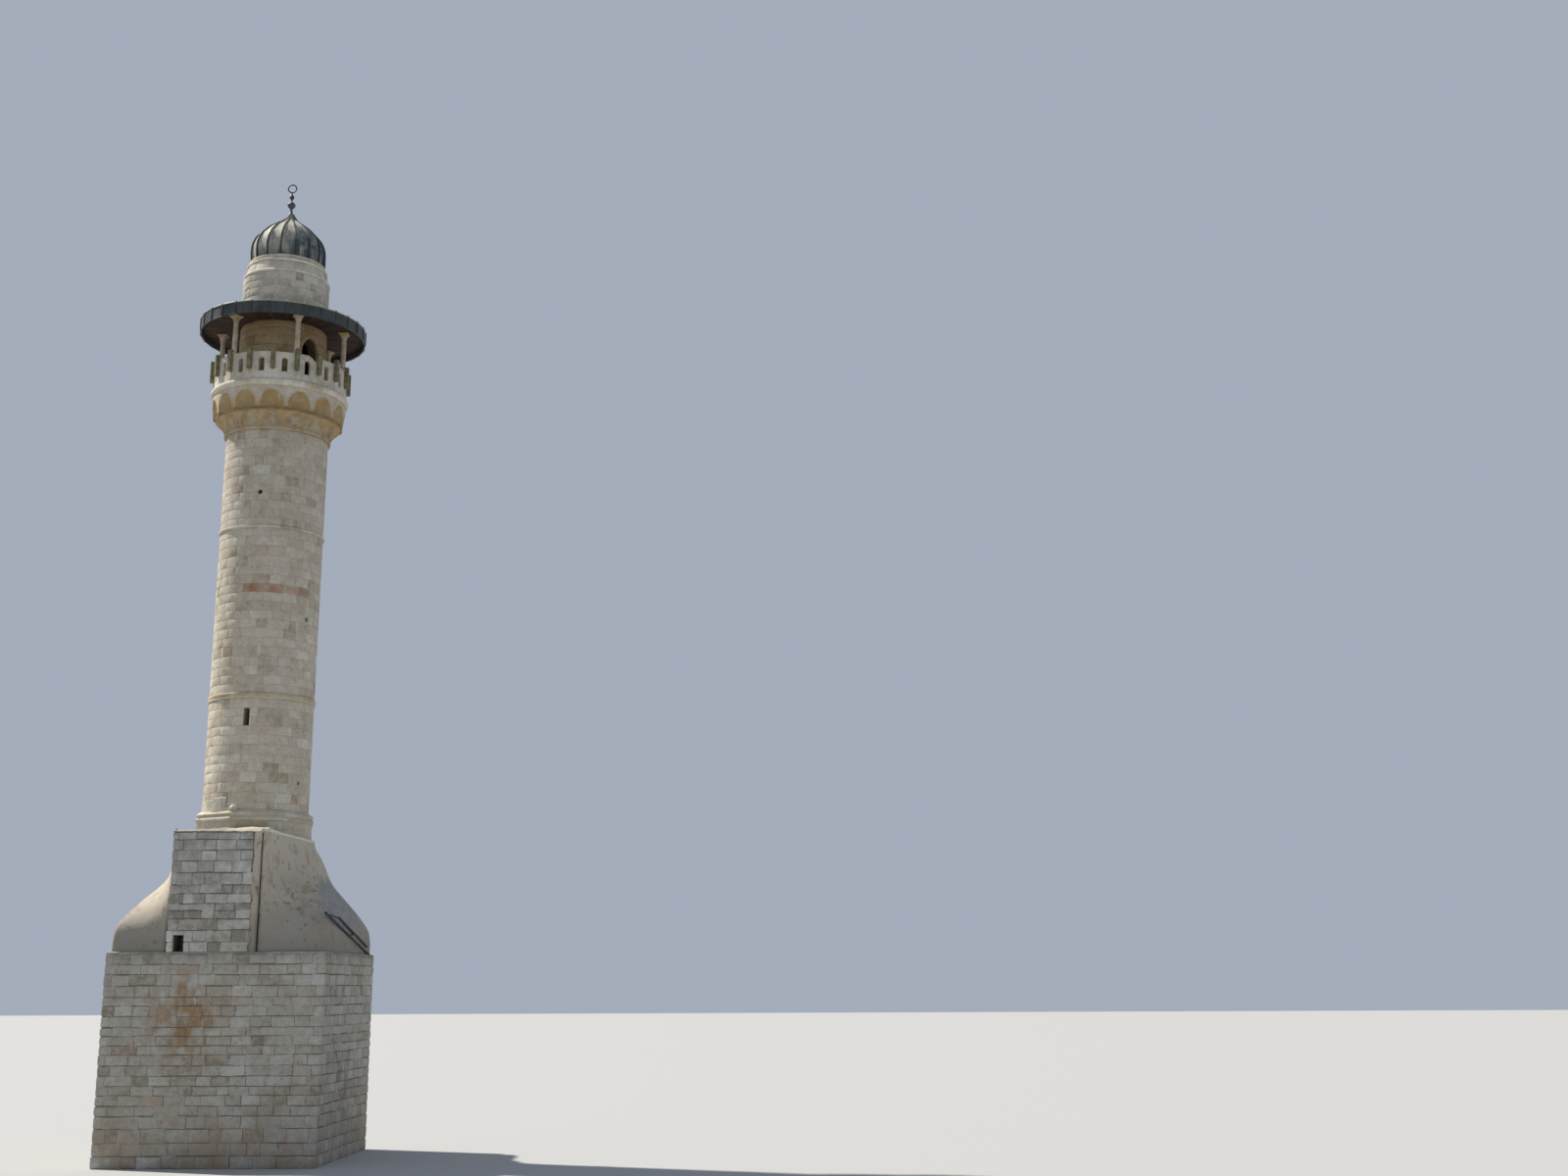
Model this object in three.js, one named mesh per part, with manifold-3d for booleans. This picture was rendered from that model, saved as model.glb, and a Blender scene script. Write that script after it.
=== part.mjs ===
// Minaret: a square masonry base, a round shaft, a gallery under a canopy, and a lantern with a ribbed dome.
// Millimetres, +Z up. The origin is on the ground, on the axis of the shaft. The front of the base faces -Y.
// Azimuths are in degrees, measured about +Z from -Y towards +X.
import * as THREE from "three";
import { mergeVertices } from "three/addons/utils/BufferGeometryUtils.js";
import Module from "manifold-3d";

const wasm = await Module();
wasm.setup();

// Levels
const BASE_TOP = 5450;
const TRANSITION_TOP = 8500;
const COPING_TOP = 8560;
const PLINTH_TOP = 9300;
const LOWER_COURSE = 12420;
const LOWER_COURSE_TOP = 12570;
const UPPER_COURSE = 17330;
const UPPER_COURSE_TOP = 17390;
const SHAFT_TOP = 20250;
const CORBEL_MIDDLE = 20790;
const CORBEL_TOP = 21450;
const GALLERY_LEVEL = 21630;
const PARAPET_TOP = 22460;
const SOFFIT_LEVEL = 23660;
const SOFFIT_TOP = 23720;
const DRUM_JOINT = 23700;
const DRUM_SHOULDER = 25190;
const DOME_RIM = 25790;
const DOME_TIP = 27500;
const FINIAL_TOP = 28500;

// Base, and the raised block flush with its front, with a blind loophole that stands on the base
const BASE_HALF = 2860;
const BLOCK_LEFT = -1290;
const BLOCK_RIGHT = 980;
const BLOCK_BACK = -1600;
const BLOCK_TOP = 8600;
const LOOPHOLE = { left: -1150, right: -860, top: 5890, depth: 600 };
const CUT_GAP = 0.3;
const CUT_MARGIN = 100;

// Plastered transition. Its spread is given as [level, share]: 1 is the square of its foot, 0 the octagon of
// its head.
const TRANSITION_FOOT = 2800;
const TRANSITION_HEAD = 1790;
const TRANSITION_SPREAD = [[BASE_TOP, 1], [5950, 0.985], [6250, 0.92], [6600, 0.77], [7000, 0.565],
  [7300, 0.4], [7600, 0.28], [8000, 0.175], [TRANSITION_TOP, 0]];
const PLASTER_EDGE = 40;

// Octagonal plinth, turned against the base as the gallery is, with its mouldings as [beyond the face, level]
const PLINTH_TURN = -7.4;
const PLINTH_FACE = 1670;
const PLINTH_MOULDINGS = [[0, 9010], [30, 9040], [30, 9080], [-10, 9110], [-10, 9160], [10, 9185], [10, 9215],
  [-70, 9260], [-100, PLINTH_TOP]];
const COPING_RADIUS = 1730;
const COPING_WEAR = { down: 20, back: 30 };

// Two dark rails that slope down the right-hand flank. The low one stands on the base and carries the other.
const RAIL_RADIUS = 25;
const RAIL_LOW = [[2771, -2590, 6470], [2830, 1440, 5655]];
const RAIL_HIGH = [[2770, -1100, 6390], [2834, 2110, 5690]];
const RAIL_FOOT_SHARE = 1.3;
const RAIL_CLAMPS = [{ low: 0.03, high: 0.02 }, { low: 0.64, high: 0.55 }];
const CLAMP_RADIUS = 17;

// Shaft, with the stair well inside it
const SHAFT_RADIUS = 1440;
const COURSE_RADIUS = 1480;
const WELL_RADIUS = 900;
const SHAFT_SIDES = 40;
const SLIT = { azimuth: 0, bottom: 11650, width: 170, height: 500 };
const ROUND_HOLES = [
  { azimuth: 65, level: 14810, radius: 75 },
  { azimuth: 0, level: 18380, radius: 75 },
];
const SMALL_HOLE = { azimuth: 66, bottom: 10080, width: 100, height: 100 };

// Corbel with two tiers of niches, and the gallery floor; profiles as [radius, level]
const NICHES = 15;
const NICHE_AZIMUTH = 9;
const NICHE_HEAD = 0.55;
const CORBEL_SIDES = 45;
const LOWER_NICHE = { width: 540, height: 350, foot: 20380, back: 1550 };
const UPPER_NICHE = { width: 630, height: 540, foot: 20780, back: 1740 };
const LOWER_TIER = [[1500, SHAFT_TOP], [1525, 20290], [1505, 20350], [1590, 20560], [1790, 20755],
  [1790, CORBEL_MIDDLE]];
const UPPER_TIER = [[1850, CORBEL_MIDDLE], [1900, 21330], [1900, CORBEL_TOP]];
const CORNICE_RADIUS = 1960;
const CORNICE = [[1925, CORBEL_TOP], [CORNICE_RADIUS, 21510], [CORNICE_RADIUS, 21600], [1940, GALLERY_LEVEL]];

// Parapet bays and their posts
const BAYS = 18;
const BAY_ANGLE = 360 / BAYS;
const POST_AZIMUTH = 8.4;
const PARAPET_RADIUS = 1910;
const PARAPET_THICK = 120;
const BAY_JOINT = 3;
const BAY_OPENING = { width: 160, height: 420, foot: 21870 };
const POST = { width: 120, inner: 1911, outer: 2020, bottom: 21920, top: 22570 };
const POST_BOND = 20;
const BROKEN_BAY = 2;
const NOTCH = { width: 280, height: 150 };

// Columns and canopy
const COLUMNS = 6;
const COLUMN_RING = 1825;
const COLUMN_RADIUS = 75;
const COLUMN_TAPER = 6;
const COLUMN_FOOT = { reach: 10, height: 50, slope: 20 };
const CAPITAL_HALF = 150;
const CAPITAL_HEIGHT = 130;
const CAPITAL_PLATE = 45;
const CAPITAL_NECK = 94;
const CANOPY_SIDES = 30;
const CANOPY_TURN = 5;
const CANOPY_RADIUS = 2390;
const CANOPY_INNER = 1265;
const FASCIA_BOTTOM = 23460;
const FASCIA_TOP = 23810;
const FASCIA_THICK = 35;
const ROOF_SEAT = 65;
const ROOF_RISE = 250;
const ROOF_THICK = 60;
const EAVES_THICK = 45;
const SOFFIT_GAP = 1;

// Lantern drum with its pointed door, and the mouldings that draw its shoulder in under the dome
const DRUM_RADIUS = 1245;
const DRUM_INNER = 850;
const DOOR = { azimuth: 55, width: 600, height: 1630, head: 432 };
const SHOULDER = [[1250, DRUM_SHOULDER], [1250, 25250], [1210, 25290], [1140, 25560], [1155, 25590],
  [1155, 25630], [1080, 25670], [1100, 25730], [1100, DOME_RIM]];

// Dome of gores between ribs, drawn in to an ogee tip, and the finial, as [radius, level]
const DOME_RIBS = 16;
const RIB_AZIMUTH = 3.5;
const DOME_THICK = 60;
const DOME_STEPS = 9;
const GORE_SINK = 0.975;
const DOME_CURVE = [[1060, DOME_RIM], [1080, 26080], [1055, 26350], [955, 26600], [790, 26800], [640, 26950],
  [440, 27100], [255, 27250], [150, 27400], [95, DOME_TIP]];
const FINIAL_RING_RADIUS = 125;
const FINIAL_RING_TUBE = 20;
const FINIAL_FOOT = FINIAL_TOP - 2 * (FINIAL_RING_RADIUS + FINIAL_RING_TUBE);
const FINIAL_STEM = [[80, DOME_TIP], [55, 27560], [34, 27640], [34, 27690], [75, 27725], [115, 27775],
  [120, 27815], [105, 27855], [60, 27895], [26, 27930], [22, 27990], [50, 28025], [70, 28065], [66, 28100],
  [40, 28135], [20, 28160], [20, FINIAL_FOOT]];
const RING_FOOT = { radius: 18, height: 30 };

const stone = finish(0xb9b09c, 0.95);
const paleStone = finish(0xc9c2b0, 0.95);
const plaster = finish(0xb3ab9b, 0.98);
const ochreStone = finish(0xad9468, 0.95);
const sheetMetal = finish(0x3d4a47, 0.55, 0.5);
const boards = finish(0x3b2a22, 0.85);
const darkMetal = finish(0x39403d, 0.45, 0.7);

function finish(color, roughness, metalness = 0) {
  return new THREE.MeshStandardMaterial({ color, roughness, metalness });
}

const minaret = new THREE.Group();
minaret.name = "minaret";

function add(name, geometry, material) {
  const mesh = new THREE.Mesh(geometry, material);
  mesh.name = name;
  minaret.add(mesh);
  return mesh;
}

// A closed geometry as a solid that can be joined and cut.
function solid(geometry) {
  const bare = geometry.clone();
  bare.deleteAttribute("normal");
  bare.deleteAttribute("uv");
  const merged = mergeVertices(bare, 1e-2);
  return new wasm.Manifold(
    new wasm.Mesh({
      numProp: 3,
      vertProperties: new Float32Array(merged.attributes.position.array),
      triVerts: new Uint32Array(merged.index.array),
    }),
  );
}

function geometryOf(made) {
  const mesh = made.getMesh();
  const geometry = new THREE.BufferGeometry();
  geometry.setAttribute("position", new THREE.BufferAttribute(new Float32Array(mesh.vertProperties), 3));
  geometry.setIndex(new THREE.BufferAttribute(new Uint32Array(mesh.triVerts), 1));
  geometry.computeVertexNormals();
  return geometry;
}

// A profile of [radius, height] points turned about the axis; its first corner is at the given azimuth.
function turned(profile, sides, azimuth = 0) {
  const points = profile.map(([radius, height]) => new THREE.Vector2(radius, height));
  const start = THREE.MathUtils.degToRad(azimuth);
  return new THREE.LatheGeometry(points, sides, start, 2 * Math.PI).rotateX(Math.PI / 2);
}

// The same for a ring: the profile closes on itself.
function ring(profile, sides, azimuth = 0) {
  return turned([...profile, profile[0]], sides, azimuth);
}

// A ring with an upright inner wall and the given outer profile, from the foot up.
function walled(inner, profile, sides) {
  return ring([[inner, profile[0][1]], ...profile, [inner, profile[profile.length - 1][1]]], sides);
}

// A plain tube between two levels.
function tube(inner, outer, bottom, top, sides = SHAFT_SIDES) {
  return ring([[inner, bottom], [outer, bottom], [outer, top], [inner, top]], sides);
}

// Turns a shape drawn in X and Y so that it faces outward at an azimuth, from one radius to another.
function facing(shape, azimuth, level, from, to, curveSegments = 4) {
  const angle = THREE.MathUtils.degToRad(azimuth);
  const outward = new THREE.Vector3(Math.sin(angle), -Math.cos(angle), 0);
  const along = new THREE.Vector3(Math.cos(angle), Math.sin(angle), 0);
  const up = new THREE.Vector3(0, 0, 1);
  const place = new THREE.Matrix4().makeBasis(along, up, outward);
  place.setPosition(outward.x * from, outward.y * from, level);
  const prism = new THREE.ExtrudeGeometry(shape, { depth: to - from, bevelEnabled: false, curveSegments });
  return prism.applyMatrix4(place);
}

// An upright opening with its foot at the origin: round-headed, or pointed when the head is taller than half
// its width.
function archShape(width, height, head = width / 2) {
  const half = width / 2;
  const spring = height - head;
  const shape = new THREE.Shape();
  shape.moveTo(-half, 0);
  shape.lineTo(half, 0);
  shape.lineTo(half, spring);
  shape.bezierCurveTo(half, spring + head * 0.55, half * 0.5, height - head * 0.08, 0, height);
  shape.bezierCurveTo(-half * 0.5, height - head * 0.08, -half, spring + head * 0.55, -half, spring);
  shape.closePath();
  return shape;
}

function boxShape(width, height) {
  const shape = new THREE.Shape();
  shape.moveTo(-width / 2, 0);
  shape.lineTo(width / 2, 0);
  shape.lineTo(width / 2, height);
  shape.lineTo(-width / 2, height);
  shape.closePath();
  return shape;
}

function roundShape(radius) {
  const shape = new THREE.Shape();
  shape.absarc(0, 0, radius, 0, 2 * Math.PI, false);
  return shape;
}

function box(left, right, front, back, bottom, top) {
  const geometry = new THREE.BoxGeometry(right - left, back - front, top - bottom);
  return geometry.translate((left + right) / 2, (front + back) / 2, (bottom + top) / 2);
}

function onPlinth(radius, side) {
  const angle = THREE.MathUtils.degToRad(PLINTH_TURN + 45 * side);
  return [radius * Math.sin(angle), -radius * Math.cos(angle)];
}

// The plastered passage: from a square at its foot to the plinth's octagon, and to the block's front edges.
function transitionBody() {
  const reach = TRANSITION_FOOT;
  const left = BLOCK_LEFT - PLASTER_EDGE;
  const right = BLOCK_RIGHT + PLASTER_EDGE;
  const foot = [[right, -reach], [reach, -reach], [reach, reach], [0, reach], [-reach, reach],
    [-reach, -reach], [left, -reach]];
  const besidePlinth = [2, 3, 4, 5, 6].map((side) => onPlinth(TRANSITION_HEAD, side));
  const head = [[right, PLASTER_EDGE - reach], ...besidePlinth, [left, PLASTER_EDGE - reach]];
  const corners = foot.length;
  const positions = [];
  for (const [level, spread] of TRANSITION_SPREAD) {
    foot.forEach(([x, y], corner) => {
      const [headX, headY] = head[corner];
      positions.push(headX + (x - headX) * spread, headY + (y - headY) * spread, level);
    });
  }
  const triangles = [];
  const last = (TRANSITION_SPREAD.length - 1) * corners;
  for (let row = 0; row < last; row += corners) {
    for (let side = 0; side < corners; side++) {
      const a = row + side;
      const b = row + ((side + 1) % corners);
      triangles.push(a, b, b + corners, a, b + corners, a + corners);
    }
  }
  for (let side = 1; side < corners - 1; side++) {
    triangles.push(0, side + 1, side);
    triangles.push(last, last + side, last + side + 1);
  }
  const geometry = new THREE.BufferGeometry();
  geometry.setAttribute("position", new THREE.Float32BufferAttribute(positions, 3));
  geometry.setIndex(triangles);
  return geometry;
}

function cutFrom(body, cutters) {
  return cutters.reduce((left, cutter) => left.subtract(solid(cutter)), body);
}

// Base
add("base_tower", box(-BASE_HALF, BASE_HALF, -BASE_HALF, BASE_HALF, 0, BASE_TOP), stone);
const block = box(BLOCK_LEFT, BLOCK_RIGHT, -BASE_HALF, BLOCK_BACK, BASE_TOP, BLOCK_TOP);
const loophole = box(LOOPHOLE.left, LOOPHOLE.right, -BASE_HALF - CUT_MARGIN, -BASE_HALF + LOOPHOLE.depth,
  BASE_TOP - CUT_MARGIN, LOOPHOLE.top);
add("base_block", geometryOf(cutFrom(solid(block), [loophole])), stone);

const cutBottom = BASE_TOP - CUT_MARGIN;
const blockSpace = box(BLOCK_LEFT - CUT_GAP, BLOCK_RIGHT + CUT_GAP, -BASE_HALF - CUT_MARGIN,
  BLOCK_BACK + CUT_GAP, cutBottom, BLOCK_TOP + CUT_MARGIN);
const wellTop = PLINTH_TOP + CUT_MARGIN;
const wellSpace = turned([[0, cutBottom], [WELL_RADIUS, cutBottom], [WELL_RADIUS, wellTop], [0, wellTop]],
  SHAFT_SIDES);
add("transition", geometryOf(cutFrom(solid(transitionBody()), [blockSpace, wellSpace])), plaster);

// A round bar between two points.
function bar(from, to, radius, sides = 8) {
  const start = new THREE.Vector3(...from);
  const end = new THREE.Vector3(...to);
  const rod = new THREE.CylinderGeometry(radius, radius, start.distanceTo(end), sides);
  const along = new THREE.Vector3().subVectors(end, start).normalize();
  rod.applyQuaternion(new THREE.Quaternion().setFromUnitVectors(new THREE.Vector3(0, 1, 0), along));
  return rod.translate(...new THREE.Vector3().addVectors(start, end).multiplyScalar(0.5).toArray());
}

const alongRail = (rail, share) => rail[0].map((value, axis) => value + (rail[1][axis] - value) * share);
const lowRail = bar(alongRail(RAIL_LOW, 0), alongRail(RAIL_LOW, RAIL_FOOT_SHARE), RAIL_RADIUS);
let rails = solid(lowRail).trimByPlane([0, 0, 1], BASE_TOP).add(solid(bar(...RAIL_HIGH, RAIL_RADIUS)));
for (const { low, high } of RAIL_CLAMPS) {
  rails = rails.add(solid(bar(alongRail(RAIL_LOW, low), alongRail(RAIL_HIGH, high), CLAMP_RADIUS)));
}
add("slope_rails", geometryOf(rails), darkMetal);

const copingProfile = [[0, TRANSITION_TOP], [COPING_RADIUS, TRANSITION_TOP],
  [COPING_RADIUS, COPING_TOP - COPING_WEAR.down], [COPING_RADIUS - COPING_WEAR.back, COPING_TOP],
  [0, COPING_TOP]];
const coping = solid(turned(copingProfile, 8, PLINTH_TURN));
add("transition_coping", geometryOf(cutFrom(coping, [blockSpace, wellSpace])), paleStone);

// Plinth with two rounded mouldings under its top
const mouldings = PLINTH_MOULDINGS.map(([beyond, level]) => [PLINTH_FACE + beyond, level]);
const plinthProfile = [[0, COPING_TOP], [PLINTH_FACE, COPING_TOP], ...mouldings, [0, PLINTH_TOP]];
const plinth = solid(turned(plinthProfile, 8, PLINTH_TURN));
add("plinth_octagon", geometryOf(cutFrom(plinth, [blockSpace, wellSpace])), stone);

// Shaft
const THROUGH = [WELL_RADIUS - CUT_MARGIN, SHAFT_RADIUS + CUT_MARGIN];
const slit = facing(boxShape(SLIT.width, SLIT.height), SLIT.azimuth, SLIT.bottom, ...THROUGH);
const smallHole = facing(boxShape(SMALL_HOLE.width, SMALL_HOLE.height), SMALL_HOLE.azimuth, SMALL_HOLE.bottom,
  ...THROUGH);
const roundHoles = ROUND_HOLES.map(({ azimuth, level, radius }) => {
  return facing(roundShape(radius), azimuth, level, ...THROUGH);
});

const lowerShaft = solid(tube(WELL_RADIUS, SHAFT_RADIUS, PLINTH_TOP, LOWER_COURSE));
add("shaft_lower", geometryOf(cutFrom(lowerShaft, [slit, smallHole])), stone);
add("string_course_lower", tube(WELL_RADIUS, COURSE_RADIUS, LOWER_COURSE, LOWER_COURSE_TOP), paleStone);
const middleShaft = solid(tube(WELL_RADIUS, SHAFT_RADIUS, LOWER_COURSE_TOP, UPPER_COURSE));
add("shaft_middle", geometryOf(cutFrom(middleShaft, [roundHoles[0]])), stone);
add("string_course_upper", tube(WELL_RADIUS, COURSE_RADIUS, UPPER_COURSE, UPPER_COURSE_TOP), paleStone);
const upperShaft = solid(tube(WELL_RADIUS, SHAFT_RADIUS, UPPER_COURSE_TOP, SHAFT_TOP));
add("shaft_upper", geometryOf(cutFrom(upperShaft, [roundHoles[1]])), stone);

// A tier of the corbel: a flared ring, with arched niches cut in as far as their back.
function corbelTier(profile, niche) {
  let cutters = null;
  for (let index = 0; index < NICHES; index++) {
    const azimuth = NICHE_AZIMUTH + (index * 360) / NICHES;
    const shape = archShape(niche.width, niche.height, niche.width * NICHE_HEAD);
    const from = niche.back - 2 * CUT_MARGIN;
    const cutter = solid(facing(shape, azimuth, niche.foot, from, CORNICE_RADIUS, 3));
    cutters = cutters ? cutters.add(cutter) : cutter;
  }
  const core = tube(WELL_RADIUS, niche.back, niche.foot - CUT_MARGIN, CORBEL_TOP + CUT_MARGIN, CORBEL_SIDES);
  const body = solid(walled(WELL_RADIUS, profile, CORBEL_SIDES));
  return geometryOf(body.subtract(cutters.subtract(solid(core))));
}

add("corbel_lower", corbelTier(LOWER_TIER, LOWER_NICHE), ochreStone);
add("corbel_upper", corbelTier(UPPER_TIER, UPPER_NICHE), ochreStone);

// Gallery floor with its cornice edge
add("gallery_floor", walled(WELL_RADIUS, CORNICE, CORBEL_SIDES), paleStone);

// One parapet bay: a flat slab between two joints, its arched opening, and the post over its first joint.
function parapetBay(index) {
  const half = THREE.MathUtils.degToRad(BAY_ANGLE / 2);
  const centre = POST_AZIMUTH + BAY_ANGLE * (index + 0.5);
  const outer = PARAPET_RADIUS * Math.cos(half);
  const inner = outer - PARAPET_THICK;
  const outerHalf = outer * Math.tan(half) - BAY_JOINT / 2;
  const innerHalf = inner * Math.tan(half) - BAY_JOINT / 2;
  const plan = new THREE.Shape();
  plan.moveTo(-outerHalf, -outer);
  plan.lineTo(outerHalf, -outer);
  plan.lineTo(innerHalf, -inner);
  plan.lineTo(-innerHalf, -inner);
  plan.closePath();
  const slab = new THREE.ExtrudeGeometry(plan, { depth: PARAPET_TOP - GALLERY_LEVEL, bevelEnabled: false });
  slab.translate(0, 0, GALLERY_LEVEL);
  slab.rotateZ(THREE.MathUtils.degToRad(centre));
  const arch = archShape(BAY_OPENING.width, BAY_OPENING.height);
  const opening = facing(arch, centre, BAY_OPENING.foot, inner - CUT_MARGIN, outer + CUT_MARGIN);
  let bay = cutFrom(solid(slab), [opening]);
  if (index === BROKEN_BAY - 1) bay = bay.subtract(solid(brokenCorner(centre, outerHalf, inner, outer)));
  const post = POST_AZIMUTH + BAY_ANGLE * index;
  const height = POST.top - POST.bottom;
  const outside = facing(boxShape(POST.width, height), post, POST.bottom, POST.inner, POST.outer);
  const keyed = new THREE.Shape();
  keyed.moveTo(BAY_JOINT, 0);
  keyed.lineTo(POST.width / 2, 0);
  keyed.lineTo(POST.width / 2, PARAPET_TOP - POST.bottom);
  keyed.lineTo(BAY_JOINT, PARAPET_TOP - POST.bottom);
  keyed.closePath();
  const key = facing(keyed, post, POST.bottom, outer - POST_BOND, POST.inner + POST_BOND);
  return geometryOf(bay.add(solid(outside)).add(solid(key)));
}

// The corner broken out of one slab, with a ragged lower edge.
function brokenCorner(centre, outerHalf, inner, outer) {
  const shape = new THREE.Shape();
  const top = PARAPET_TOP - GALLERY_LEVEL;
  shape.moveTo(outerHalf + CUT_MARGIN, top + CUT_MARGIN);
  shape.lineTo(outerHalf - NOTCH.width, top + CUT_MARGIN);
  shape.lineTo(outerHalf - NOTCH.width * 0.93, top - NOTCH.height * 0.2);
  shape.lineTo(outerHalf - NOTCH.width * 0.6, top - NOTCH.height * 0.45);
  shape.lineTo(outerHalf - NOTCH.width * 0.35, top - NOTCH.height);
  shape.lineTo(outerHalf + CUT_MARGIN, top - NOTCH.height * 0.9);
  shape.closePath();
  return facing(shape, centre, GALLERY_LEVEL, inner - CUT_MARGIN, outer + CUT_MARGIN);
}

for (let index = 0; index < BAYS; index++) {
  add("parapet_" + String(index + 1).padStart(2, "0"), parapetBay(index), paleStone);
}

// Canopy columns with spread capitals, standing on the parapet at every third joint
function canopyColumn(index) {
  const azimuth = POST_AZIMUTH + BAY_ANGLE + (index * 360) / COLUMNS;
  const footRadius = COLUMN_RADIUS + COLUMN_FOOT.reach;
  const footTop = PARAPET_TOP + COLUMN_FOOT.height;
  const plate = SOFFIT_LEVEL - CAPITAL_PLATE;
  const shaft = turned([[0, PARAPET_TOP], [footRadius, PARAPET_TOP], [footRadius, footTop],
    [COLUMN_RADIUS, footTop + COLUMN_FOOT.slope], [COLUMN_RADIUS - COLUMN_TAPER, plate], [0, plate]], 12);
  const bottom = SOFFIT_LEVEL - CAPITAL_HEIGHT;
  const half = CAPITAL_HALF * Math.SQRT2;
  const capital = turned([[0, bottom], [CAPITAL_NECK, bottom], [half, plate], [half, SOFFIT_LEVEL],
    [0, SOFFIT_LEVEL]], 4, 45);
  const column = geometryOf(solid(shaft).add(solid(capital)));
  const angle = THREE.MathUtils.degToRad(azimuth);
  column.rotateZ(angle);
  column.translate(COLUMN_RING * Math.sin(angle), -COLUMN_RING * Math.cos(angle), 0);
  return column;
}

for (let index = 0; index < COLUMNS; index++) {
  add("canopy_column_" + (index + 1), canopyColumn(index), paleStone);
}

// Canopy: a boarded ceiling inside a sheet-metal roof with a deep fascia
const fasciaInner = CANOPY_RADIUS - FASCIA_THICK;
const soffitOuter = fasciaInner - SOFFIT_GAP;
const soffitProfile = [[CANOPY_INNER, SOFFIT_LEVEL], [soffitOuter, SOFFIT_LEVEL], [soffitOuter, SOFFIT_TOP],
  [CANOPY_INNER, SOFFIT_TOP]];
add("canopy_soffit", ring(soffitProfile, CANOPY_SIDES, CANOPY_TURN), boards);
const roofSeat = fasciaInner - ROOF_SEAT;
const roofProfile = [[fasciaInner, FASCIA_BOTTOM], [CANOPY_RADIUS, FASCIA_BOTTOM],
  [CANOPY_RADIUS, FASCIA_TOP], [CANOPY_INNER, FASCIA_TOP + ROOF_RISE],
  [CANOPY_INNER, FASCIA_TOP + ROOF_RISE - ROOF_THICK],
  [roofSeat, FASCIA_TOP - EAVES_THICK], [roofSeat, SOFFIT_TOP], [fasciaInner, SOFFIT_TOP]];
add("canopy_roof", ring(roofProfile, CANOPY_SIDES, CANOPY_TURN), sheetMetal);

// Lantern drum, with the pointed door of the gallery
const doorShape = archShape(DOOR.width, DOOR.height + CUT_MARGIN, DOOR.head);
const door = facing(doorShape, DOOR.azimuth, GALLERY_LEVEL - CUT_MARGIN, DRUM_INNER - 2 * CUT_MARGIN,
  DRUM_RADIUS + CUT_MARGIN);
const lowerDrum = solid(tube(DRUM_INNER, DRUM_RADIUS, GALLERY_LEVEL, DRUM_JOINT));
add("drum_lower", geometryOf(cutFrom(lowerDrum, [door])), ochreStone);
add("drum_upper", tube(DRUM_INNER, DRUM_RADIUS, DRUM_JOINT, DRUM_SHOULDER), stone);
add("drum_cornice", walled(DRUM_INNER, SHOULDER, SHAFT_SIDES), stone);

// Dome: a shell whose corners are ribs and, between them, the hollows of the gores
function domeShell() {
  const points = DOME_CURVE.map(([radius, height]) => new THREE.Vector2(radius, height));
  const curve = new THREE.SplineCurve(points);
  const outside = curve.getPoints(DOME_STEPS).map((point) => [point.x, point.y]);
  const everySecond = outside.slice(0, -2).filter((point, index) => index % 2 === 0);
  const inside = everySecond.map(([radius, height]) => [radius - DOME_THICK, height]);
  const top = inside[inside.length - 1][1] + DOME_THICK / 2;
  const profile = [[0, top], ...inside.reverse(), ...outside, [0, DOME_TIP]];
  const geometry = turned(profile, 2 * DOME_RIBS, RIB_AZIMUTH);
  const position = geometry.attributes.position;
  const count = profile.length;
  for (let index = 0; index < position.count; index++) {
    const between = Math.floor(index / count) % 2 === 1;
    const share = between ? GORE_SINK : 1;
    position.setXY(index, position.getX(index) * share, position.getY(index) * share);
  }
  return geometry;
}

add("dome", domeShell(), sheetMetal);

// Finial: a stem with two beads, and a ring on top
add("finial_stem", turned([[0, DOME_TIP], ...FINIAL_STEM, [0, FINIAL_FOOT]], 12), darkMetal);
const hoop = new THREE.TorusGeometry(FINIAL_RING_RADIUS, FINIAL_RING_TUBE, 6, 20);
hoop.rotateX(Math.PI / 2);
hoop.translate(0, 0, FINIAL_TOP - FINIAL_RING_RADIUS - FINIAL_RING_TUBE);
const ringFootTop = FINIAL_FOOT + RING_FOOT.height;
const ringFoot = turned([[0, FINIAL_FOOT], [RING_FOOT.radius, FINIAL_FOOT], [RING_FOOT.radius, ringFootTop],
  [0, ringFootTop]], 8);
add("finial_ring", geometryOf(solid(hoop).add(solid(ringFoot))), darkMetal);

export default minaret;
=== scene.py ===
"""The minaret's finish: laid stone, plaster, carved corbel, parapet, canopy, ribbed dome and finial.

Metres, +Z up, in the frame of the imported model. Azimuths are in degrees about +Z, from -Y towards +X.
"""
import bisect
import math
import random
from dataclasses import dataclass, replace

import bpy
from mathutils import Matrix, Vector, noise


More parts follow.
